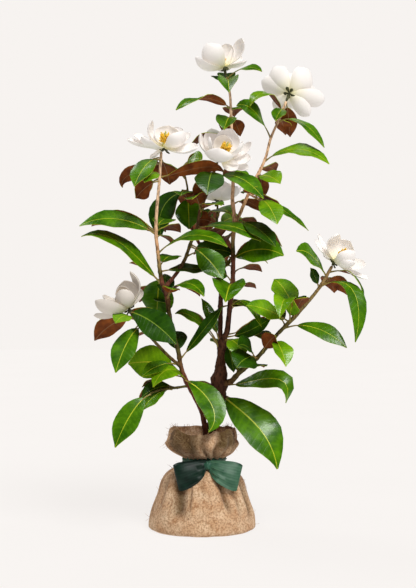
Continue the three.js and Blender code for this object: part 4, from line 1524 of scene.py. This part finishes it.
@dataclass
class Blossom:
    """All the plant's flowers."""

    finishes: Finishes
    rows: tuple[float, ...] = (0, 0.1, 0.2, 0.31, 0.42, 0.53, 0.63, 0.73, 0.82, 0.89, 0.945, 0.98, 1)
    columns: int = 9
    shoulder: float = 0.58
    thick_mm: float = 1.1
    ring_mm: float = 2.6
    stamens: int = 60
    sepals: int = 5
    carpel_rows: tuple[tuple[float, float], ...] = ((12, 4.4), (20, 4.6), (27, 3), (30, 0.8))
    carpel_foot: tuple[tuple[float, float], ...] = ((-2, 4), (4, 5))
    heart_mm: float = 16
    stamen_ring_mm: float = 3.2
    stamen_zone_mm: tuple[float, float] = (7, 13)
    neck_radii: Point = (2.4, 3.2, 4.3)
    seed: int = 11

    def __post_init__(self) -> None:
        """Makes the patterns that petals, stamens and carpels are copied from."""
        self.dice = random.Random(self.seed)
        across = np.linspace(-1, 1, self.columns)
        self.pattern = strip(self.rows, tuple(across))
        apply_modifier(self.pattern, "SOLIDIFY", thickness=1, offset=-1)
        self.shape = points_of(self.pattern)
        self.rod = tube(5, 3)
        self.hearts: dict[str, list[Piece]] = {"stamens": [], "carpels": [], "scales": []}

    def petal_points(self, foot: Array, axis: Array, petal: Petal, scale: float = 1) -> Array:
        """Bends the petal pattern like a spoon.

        Args:
            foot: the bloom's foot.
            axis: the bloom's axis.
            petal: its reach, width and curve.
            scale: thickness against a petal's own.

        Returns:
            The vertices' places in mm.
        """
        share, y, z = self.shape.T
        reach = np.array(petal.reach, dtype=float)
        out = unit(reach - axis * (reach @ axis))
        along = unit(reach)
        inner = np.array(petal.faces, dtype=float)
        inner = unit(inner - along * (inner @ along))
        begin = foot + out * self.ring_mm
        first = begin + reach * 0.3 - inner * petal.belly * 1.2
        second = begin + reach * 0.78 - inner * petal.belly * 1.4
        t = share[:, None]
        end = foot + reach
        line = curve(t, begin, first, second, end)
        turn = 3 * (1 - t) ** 2 * (first - begin) + 6 * (1 - t) * t * (second - first)
        run = unit(turn + 3 * t**2 * (end - second))
        sides = unit(np.cross(run, inner))
        inward = np.cross(sides, run)
        claw = 0.3 + 0.7 * smooth(-0.08, 0.5, share)
        past = np.clip((share - self.shoulder) / (1 - self.shoulder), 0, 1)
        half = petal.width / 2 * np.maximum(claw * np.sqrt(1 - past**2.3), 0.04)
        cup = math.radians(petal.cup)
        bend = y * cup
        phase = self.dice.uniform(0, 6.28)
        ripple = 0.8 * np.sin(7 * share + phase + 2 * np.sign(y)) * y**2 * share
        deep = half * (1 - np.cos(bend)) / cup + ripple
        normal = inward * np.cos(bend)[:, None] - sides * np.sin(bend)[:, None]
        across = half * np.sin(bend) / cup
        place = line + sides * across[:, None] + inward * deep[:, None]
        return place + normal * (z * self.thick_mm * scale * (0.6 + 0.4 * (1 - np.abs(y))))[:, None]

    def open(self, bloom: Bloom, route: Route) -> Array:
        """Builds one flower.

        Args:
            bloom: the flower.
            route: the limb that it ends.

        Returns:
            The points of its petals in mm.
        """
        foot = np.array(bloom.foot, dtype=float)
        petals, everything = [], []
        for petal in bloom.petals:
            points = self.petal_points(foot, bloom.axis, petal)
            piece = copy_of(self.pattern, points * MM)
            mark(piece, "share", self.shape[:, 0])
            dress(piece, self.finishes.petal_shaded if bloom.shaded else self.finishes.petal)
            petals.append(piece)
            everything.append(points)
        self.add_heart(bloom, foot, route)
        hand_over(joined(bloom.node.replace("bloom", "flower"), petals), "petal", bloom.node)
        return np.vstack(everything)

    def keep(self, kind: str, piece: Piece, material: Material) -> None:
        """Dresses a small piece and keeps it, to join it later with the others of its kind."""
        dress(piece, material)
        self.hearts[kind].append(piece)

    def rounded(self, route: Route) -> Piece:
        """A rod along a route, smoothed round."""
        piece = rod_along(self.rod, route)
        apply_modifier(piece, "SUBSURF", levels=2, render_levels=2)
        return piece

    def add_heart(self, bloom: Bloom, foot: Array, route: Route) -> None:
        """Adds the cone of carpels, the stamens round it, the scales below the petals and the neck."""
        axis = bloom.axis
        lift = bloom.heart_mm - self.heart_mm
        outline = self.carpel_foot + tuple((at + lift, radius) for at, radius in self.carpel_rows)
        cone = self.rounded(Route([(*(foot + axis * at), radius) for at, radius in outline]))
        self.keep("carpels", cone, self.finishes.sepal_light)
        for index in range(self.stamens):
            out = bloom.out(GOLDEN_DEGREES * index)
            level = lift + self.stamen_zone_mm[0] + self.stamen_zone_mm[1] * index / self.stamens
            begin = foot + axis * level + out * self.stamen_ring_mm
            reach = unit(out * self.dice.uniform(0.6, 1.2) + axis * self.dice.uniform(0.3, 1.0))
            stem = Route([(*begin, 0.9), (*(begin + reach * 4), 1.3), (*(begin + reach * 7.5 + axis), 0.7)])
            self.keep("stamens", rod_along(self.rod, stem), self.finishes.stamen)
        for index in range(self.sepals):
            out = bloom.out(360 / self.sepals * index + self.dice.uniform(0, 40))
            long = self.dice.uniform(8, 14)
            scale = Petal(tuple(out * long - axis * self.dice.uniform(-2, 5)), 6, tuple(axis), 2)
            sepal = copy_of(self.pattern, self.petal_points(foot - axis * 3, axis, scale, 0.6) * MM)
            self.keep("scales", sepal, self.finishes.sepal)
        start = route.at(1.0)
        knots = (start, (start + foot) / 2 - axis * 2, foot + axis)
        neck = self.rounded(Route(np.column_stack((knots, self.neck_radii))))
        self.keep("scales", neck, self.finishes.sepal)

    def build(self, routes: dict[str, Route]) -> list[Array]:
        """Builds every flower.

        Args:
            routes: the limbs' curves by name.

        Returns:
            The points of each flower's petals in mm.
        """
        points = [self.open(bloom, routes[bloom.limb]) for bloom in BLOOMS]
        for kind, slot in (("stamens", "petal"), ("carpels", "petal"), ("scales", "bark_young")):
            hand_over(joined(f"flower_{kind}", self.hearts[kind]), slot)
        discard(self.pattern)
        discard(self.rod)
        return points


# ---------------------------------------------------------------- sack and ribbon


@dataclass(frozen=True)
class Crease:
    """A groove that runs down the sack: its turn in degrees, depth and half width in mm, and its two ends."""

    turn: float
    deep: float
    half: float
    top: float
    bottom: float
    drift: float = 0.0


@dataclass(frozen=True)
class Sack:
    """The burlap round the root ball: a full foot, a tied neck and an open frill."""

    profile: tuple[tuple[float, float], ...] = (
        (0.4, 1.2), (50, 0.8), (91.5, 0.3), (95.5, 2.6), (96, 9), (94, 20), (90.5, 33), (85.5, 50), (79, 67),
        (72.5, 84), (65.5, 97), (56, 106), (46, 113), (38.5, 118), (36.5, 122.5), (38.5, 127), (47, 132.5),
        (56.5, 140), (64.5, 151), (65.5, 158), (64, 167), (61.5, 176), (59.8, 176.3), (58.5, 170),
        (54, 165), (42, 162), (24, 160.5), (10, 160), (0.4, 159.8),
    )
    foot_mm: float = 0.2
    around: int = 220
    rows: int = 92
    neck: float = 122.5
    pleats: int = 27
    creases: tuple[Crease, ...] = (
        Crease(-123, 7.5, 13, 92, 22, 8), Crease(-105, 3.5, 2.6, 88, 32), Crease(-90, 2, 4, 96, 60, -3),
        Crease(-67, 6, 5, 94, 30, 17), Crease(-45, 3.5, 5, 92, 26, 5), Crease(-20, 7.5, 9, 100, 16),
        Crease(8, 3.5, 6, 90, 14), Crease(31, 5, 7, 100, 12, 4), Crease(58, 4, 6, 88, 20),
        Crease(83, 5.5, 8, 98, 10, -4), Crease(110, 3.5, 6, 92, 20), Crease(134, 5, 7, 98, 12, 5),
        Crease(160, 4, 6, 90, 18), Crease(187, 5, 7, 96, 14, -4),
        Crease(211, 2.6, 6, 96, 30),
    )
    tucks: tuple[Point, ...] = (
        (-156, 5, 7), (-133, 2.5, 6), (-112, 4, 7), (-85, 11, 5), (-64, 9, 5.5), (-44, 5, 6), (-20, 7, 8),
        (8, 5, 8), (35, 8, 7), (66, 6, 8), (95, 8, 7), (122, 6, 8), (150, 8, 7), (178, 5, 8),
    )
    peaks: tuple[Point, ...] = (
        (-136, 6, 8), (-174, -15, 15), (-41, 6, 8), (-7, -13, 14), (-84, -4, 9), (-108, -2.5, 14),
        (-70, 2.5, 6), (151, 4, 9), (120, 2, 8), (70, 3, 9), (38, 3, 8),
    )
    # Panels of painted shade on the frill: turn and half width in degrees, the low and high heights in mm,
    # and how dark.
    painted_shade_panels: tuple[tuple[float, float, float, float, float], ...] = (
        (-124, 36, 142, 200, 0.85), (-40, 22, 150, 200, 0.85), (-126, 34, 124, 142, 0.4),
        (-77, 9, 120, 150, 0.2), (-58, 9, 128, 158, 0.35), (-140, 22, 78, 112, 0.3),
    )
    rim_wave: float = 1.4
    fibres: int = 420
    bow_zone: tuple[float, float] = (55, 135)
    fibre_floor_mm: float = 0.6
    fibre_radii: Point = (0.25, 0.23, 0.14)
    seed: int = 5

    @property
    def rim_share(self) -> float:
        """The share of the profile's length at which the cloth turns over the rim."""
        rows = np.array(self.profile)
        lengths = np.linalg.norm(np.diff(rows, axis=0), axis=1)
        top = int(rows[:, 1].argmax())
        return float(lengths[:top].sum() / lengths.sum())

    def points(self, along: Array, turn: Array) -> tuple[Array, Array]:
        """Places on the cloth.

        Args:
            along: the share of the profile's length, from the middle of the foot up and over the rim.
            turn: the angle round the sack.

        Returns:
            The places in mm, and how much painted shade darkens the cloth there, from 0 to 1.
        """
        curve = Route([(radius, 0, height, 1) for radius, height in self.profile])
        flat = curve.at(along)
        radius, height = flat[:, 0], flat[:, 2]
        tight = hump((height - self.neck) / 9)
        below = between(height, 6, 26, 108, 124)
        push = 0 * radius
        painted_shade = 0 * radius
        angle = np.degrees(turn)
        for crease in self.creases:
            middle = crease.turn + crease.drift * (1 - height / 100)
            off = wrapped(angle - middle) * radius * math.pi / 180 / crease.half
            span = between(height, crease.bottom, crease.bottom + 22, crease.top - 14, crease.top + 12)
            push += crease.deep * span * (0.3 * hump((np.abs(off) - 1.7) / 0.9) - hump(off))
            # Painted shade in the crease's groove.
            painted_shade += 0.12 * crease.deep * span * hump(off)
        fold = np.abs(np.sin(self.pleats / 2 * turn + 0.9 * np.sin(3 * turn) + 0.5 * np.sin(5 * turn + 1)))
        gather = between(height, 78, 112, 128, 150)
        uneven = 0.55 + 0.45 * np.sin(2 * turn + 0.5) ** 2
        push += (2 - 4.2 * fold**0.8) * gather * uneven * (1 - 0.35 * tight)
        flare = smooth(132, 172, height)
        for middle, deep, half in self.tucks:
            off = wrapped(angle - middle + 4 * np.sin(height / 9 + middle)) / (half * (0.8 + 0.5 * flare))
            rise = smooth(125, 138, height) * (1 - 0.25 * flare)
            push -= rise * deep * (hump(off) - 0.3 * hump((np.abs(off) - 2) / 1.1))
            # Painted shade in the fold valley of each tuck.
            painted_shade += 0.045 * deep * rise * hump(off)
        # Painted shade on the listed panels of the frill.
        for middle, half, low, high, dark in self.painted_shade_panels:
            beside = 1 - smooth(0.6, 1.2, np.abs(wrapped(angle - middle) / half))
            painted_shade += dark * beside * between(height, low - 10, low + 6, high - 4, high + 4)
        swell = zip(np.cos(turn) * 2.2, np.sin(turn) * 2.2, height / 34)
        wave = [noise.noise(place) for place in swell]
        push += 3.2 * np.array(wave) * (below + 0.6 * flare)
        radius = np.maximum(radius + push * smooth(8, 40, radius), 0.4)
        rim = self.rim_wave * (np.sin(3 * turn + 1) * np.cos(2 * turn) + 0.5 * np.sin(11 * turn + 1))
        for middle, tall, half in self.peaks:
            rim += tall * hump(wrapped(angle - middle) / half)
        rim *= smooth(150, 176, height) * smooth(44, 60, radius)
        scallop = 0.9 * np.maximum(0, np.sin(9 * turn + np.sin(4 * turn)))
        lift = scallop * (1 - smooth(3, 16, height)) * smooth(84, 92, radius)
        lean = between(height, 10, 40, 80, 100) + 4 * between(height, 100, 118, 128, 146)
        level = np.maximum(height + rim + lift, self.foot_mm)
        places = np.column_stack((radius * np.cos(turn) + lean, radius * np.sin(turn), level))
        return places, np.clip(painted_shade, 0, 1)

    def build(self, finishes: Finishes) -> None:
        """Rolls a strip of cloth into the sack, closes it, and adds loose fibres."""
        cloth = strip(tuple(np.linspace(0, 1, self.rows + 1)), tuple(np.linspace(0, 1, self.around + 1)))
        shape = points_of(cloth)
        places, painted_shade = self.points(shape[:, 0], shape[:, 1] * 2 * math.pi)
        set_points(cloth, places * MM)
        # The painted shade goes on the cloth as its own attribute.
        mark(cloth, "painted_shade", painted_shade)
        weld(cloth)
        for height in (1.2 * MM, 137.8 * MM):
            pick(
                cloth,
                lambda place, height=height: place.xy.length < 6 * MM and abs(place.z - height) < 2 * MM,
            )
            bpy.ops.mesh.merge(type="CENTER")
            leave_edit()
        face_out(cloth)
        dress(cloth, finishes.burlap)
        hand_over(joined("burlap_sack", [cloth]), "burlap", "sack")
        self.add_fibres(finishes)

    def add_fibres(self, finishes: Finishes) -> None:
        """Scatters loose jute fibres over the cloth and along the rim."""
        dice = random.Random(self.seed)
        pattern = tube(3, 4)
        fibres = []
        for index in range(self.fibres):
            edge = index % 4 == 0
            if edge:
                along = self.rim_share + dice.uniform(-0.008, 0.006)
            else:
                along = dice.uniform(0.27, self.rim_share)
            turn = dice.uniform(0, 2 * math.pi)
            foot = self.points(np.array([along]), np.array([turn]))[0][0]
            out = np.array((math.cos(turn), math.sin(turn), 0))
            lie = unit(np.array([dice.uniform(-1, 1) for _ in range(3)]) + (UP * 1.2 if edge else 0 * UP))
            reach = dice.uniform(4, 8 if edge else 11)
            middle = foot + lie * reach * 0.5 + out * dice.uniform(0.8, 2.6)
            end = foot + lie * reach + out * dice.uniform(0.2, 5)
            if foot[1] < -20 and self.bow_zone[0] < foot[2] < self.bow_zone[1]:
                continue
            rows = np.vstack((foot - out * 0.4, middle, end))
            rows[:, 2] = np.maximum(rows[:, 2], self.fibre_floor_mm)
            piece = rod_along(pattern, Route(np.column_stack((rows, self.fibre_radii))))
            dress(piece, finishes.hem)
            fibres.append(piece)
        discard(pattern)
        hand_over(joined("burlap_fibres", fibres), "burlap")


@dataclass(frozen=True)
class Ribbon:
    """Satin ribbon round the neck, with a two-looped bow at the front."""

    band_radius: float = 39.3
    band_aside: float = 4
    band_height: float = 122.3
    band_half: float = 5
    thick_mm: float = 0.7
    columns: int = 11
    knot: Point = (10.5, -50, 118)
    knot_size: Point = (7, 7.5, 8)
    reach: float = 59
    top_at_knot: float = 127
    top_at_end: float = 118
    lower_out: float = 25
    half_at_knot: float = 8.5
    half_at_end: float = 19.2
    half_between: float = 6
    open_mm: float = 7.5
    lean_mm: float = 10
    bulge_mm: float = 3.4
    fan_mm: float = 2.4
    crumple_mm: float = 1.5
    back_rise_mm: float = 2.5

    def cloth(self, rows: int, columns: int) -> Piece:
        """A strip of ribbon with its own thickness, from 0 to 1 along and -1 to 1 across."""
        piece = strip(tuple(np.linspace(0, 1, rows)), tuple(np.linspace(-1, 1, columns)))
        apply_modifier(piece, "SOLIDIFY", thickness=1, offset=0)
        return piece

    def lay(self, name: str, node: str, rows: int, place: Callable, satin: Material) -> None:
        """Lays a strip of ribbon along a surface.

        Args:
            name: the piece's name.
            node: the node that it stands for.
            rows: the strip's faces along.
            place: gives the surface's points from share along and place across.
            satin: the ribbon's material.
        """
        piece = self.cloth(rows, self.columns)
        share, y, z = points_of(piece).T
        step = 1e-3
        middle = place(share, y)
        ahead = place(share + step, y) - place(share - step, y)
        over = place(share, y + step) - place(share, y - step)
        normal = unit(np.cross(ahead, over) + 1e-12)
        set_points(piece, (middle + normal * (z * self.thick_mm)[:, None]) * MM)
        weld(piece)
        face_out(piece)
        dress(piece, satin)
        hand_over(joined(name, [piece]), "satin", node)

    def band(self, share: Array, y: Array) -> Array:
        """The band round the neck."""
        turn = 2 * np.pi * share
        crease = 0.5 * np.sin(11 * turn + 4 * y) + 0.6 * np.sin(5 * y + 2 * turn)
        radius = self.band_radius + crease - 0.8 * y**2
        height = self.band_height + y * self.band_half + 0.6 * np.sin(3 * turn) - 3.2 * np.sin(turn)
        return np.column_stack((radius * np.cos(turn) + self.band_aside, radius * np.sin(turn), height))

    def loop(self, side: int) -> Callable:
        """The surface of one loop of the bow, on the left for -1 and on the right for 1."""

        def place(share: Array, y: Array) -> Array:
            far = np.clip(np.sin(np.pi * np.clip(share, 0, 1)), 0, 1) ** 0.8
            fuller = self.half_between * np.sqrt(np.sin(np.pi * np.clip(far, 0, 1)))
            half = self.half_at_knot + (self.half_at_end - self.half_at_knot) * far**0.8 + fuller
            height = self.top_at_knot + (self.top_at_end - self.top_at_knot) * far**2 - half + y * half
            lean = self.lean_mm * (1 - y) / 2 * far
            x = self.knot[0] + side * (2 + (self.reach - lean) * far)
            low = (1 - y) / 2
            fan = np.cos(3.4 * np.pi * y + side) * (1 - far) ** 0.8 * smooth(0, 0.15, far)
            open_by = self.open_mm * (0.8 + 0.3 * y) * np.sin(2 * np.pi * share) * (0.4 + 0.6 * far)
            bulge = self.bulge_mm * np.cos(np.pi * y / 2) * np.sin(np.pi * far**0.8)
            sweep = self.lower_out * low * np.minimum(far / 0.25, 1) ** 0.7 * (1 - 0.4 * far)
            crumple = self.crumple_mm * np.sin(3.2 * y + 5.5 * far + side) * far
            depth = self.knot[1] - sweep - open_by + self.fan_mm * fan - bulge + crumple
            height += self.back_rise_mm * np.clip(-np.sin(2 * np.pi * share), 0, 1) * (1 + y) / 2 * far
            return np.column_stack((x, depth, height))

        return place

    def build(self, finishes: Finishes) -> None:
        """Ties the ribbon."""
        self.lay("ribbon_round_neck", "ribbon_band", 140, self.band, finishes.satin)
        # The loops take the satin copies with painted shade on the left and painted light on the right.
        self.lay("ribbon_loop_left", "bow_loop_left", 64, self.loop(-1), finishes.satin_dark)
        self.lay("ribbon_loop_right", "bow_loop_right", 64, self.loop(1), finishes.satin_light)
        deselect()
        bpy.ops.mesh.primitive_uv_sphere_add(segments=40, ring_count=24, radius=1)
        knot = bpy.context.object
        points = points_of(knot)
        turn = np.arctan2(points[:, 2], points[:, 0])
        fold = 1 + 0.07 * np.cos(7 * points[:, 0] + 2 * points[:, 2]) + 0.04 * np.sin(5 * turn)
        size = np.array(self.knot_size)
        box = np.sign(points) * np.abs(points) ** 0.82
        set_points(knot, (box * size * fold[:, None] + self.knot) * MM)
        dress(knot, finishes.satin)
        hand_over(joined("ribbon_knot", [knot]), "satin", "bow_knot")


# ---------------------------------------------------------------- floor, light and camera


@dataclass(frozen=True)
class Studio:
    """A pale floor under soft light, seen from the front."""

    lens_mm: float = 74.86
    sensor_mm: float = 36
    floor_size: float = 14
    ground: Shade = (247, 243, 240)
    ambient_above: float = 0.42
    ambient_below: float = 0.13
    ambient_mirrored: float = 0.03
    horizon: float = -0.3
    floor_glow: float = 0.89
    key: float = 2.9
    key_soft_degrees: float = 28
    key_tilt: Point = (40, 0, 29)
    rim: float = 0.8
    rim_soft_degrees: float = 24
    rim_tilt: Point = (42, 0, 231)

    def build(self) -> None:
        """Sets the floor, the light and the camera."""
        deselect()
        bpy.ops.mesh.primitive_plane_add(size=self.floor_size)
        floor = bpy.context.object
        floor.name = "floor"
        recipe = Recipe("floor_paper", Roughness=0.9, Specular_IOR_Level=0.0)
        shade = recipe.cloud(recipe.place(), 3)
        recipe.colour(recipe.shades(shade, 0.2, (86, 85, 84), 0.8, (90, 89, 88)))
        recipe.glow(srgb(*self.ground), self.floor_glow)
        dress(floor, recipe.material)
        self.set_world()
        self.add_sun(self.key, self.key_soft_degrees, self.key_tilt)
        self.add_sun(self.rim, self.rim_soft_degrees, self.rim_tilt)
        bpy.ops.object.camera_add(location=[side * MM for side in VIEWPOINT], rotation=(math.pi / 2, 0, 0))
        camera = bpy.context.object
        camera.data.lens = self.lens_mm
        camera.data.sensor_width = self.sensor_mm
        bpy.context.scene.camera = camera
        bpy.context.scene.view_settings.view_transform = "Standard"

    def add_sun(self, energy: float, soft_degrees: float, tilt: Point) -> None:
        """Adds one distant soft light, turned by angles in degrees."""
        bpy.ops.object.light_add(type="SUN", rotation=tuple(math.radians(turn) for turn in tilt))
        light = bpy.context.object.data
        light.energy = energy
        light.angle = math.radians(soft_degrees)

    def set_world(self) -> None:
        """Makes the surroundings as pale as the ground, and a little dimmer as a light."""
        world = bpy.data.worlds.new("studio")
        world.use_nodes = True
        bpy.context.scene.world = world
        nodes = NodeBench(world.node_tree)
        back = nodes.tree.nodes["Background"]
        back.inputs["Color"].default_value = srgb(*self.ground)
        rays = nodes.add("LightPath").outputs
        split = nodes.add("SeparateXYZ", {"Vector": nodes.add("TexCoord").outputs["Generated"]})
        glow = nodes.graded(split.outputs["Z"], self.ambient_below, self.ambient_above, self.horizon)
        mirrored = nodes.graded(rays["Is Glossy Ray"], glow, self.ambient_mirrored)
        nodes.feed(back.inputs["Strength"], nodes.graded(rays["Is Camera Ray"], mirrored, 1.0))


def main() -> None:
    """Builds the studio, then the sack, the flowers, the leaves and the limbs that carry them."""
    finishes = Finishes.make()
    Studio().build()
    Sack().build(finishes)
    Ribbon().build(finishes)
    foliage = Foliage(finishes)
    blooms = Blossom(finishes).build(foliage.routes)
    foliage.build(blooms)
    for limb in LIMBS:
        limb.build(finishes, foliage.eyes.get(limb.name, ()))


if __name__ == "__main__":
    logging.basicConfig(level=logging.INFO, format="%(message)s")
    main()
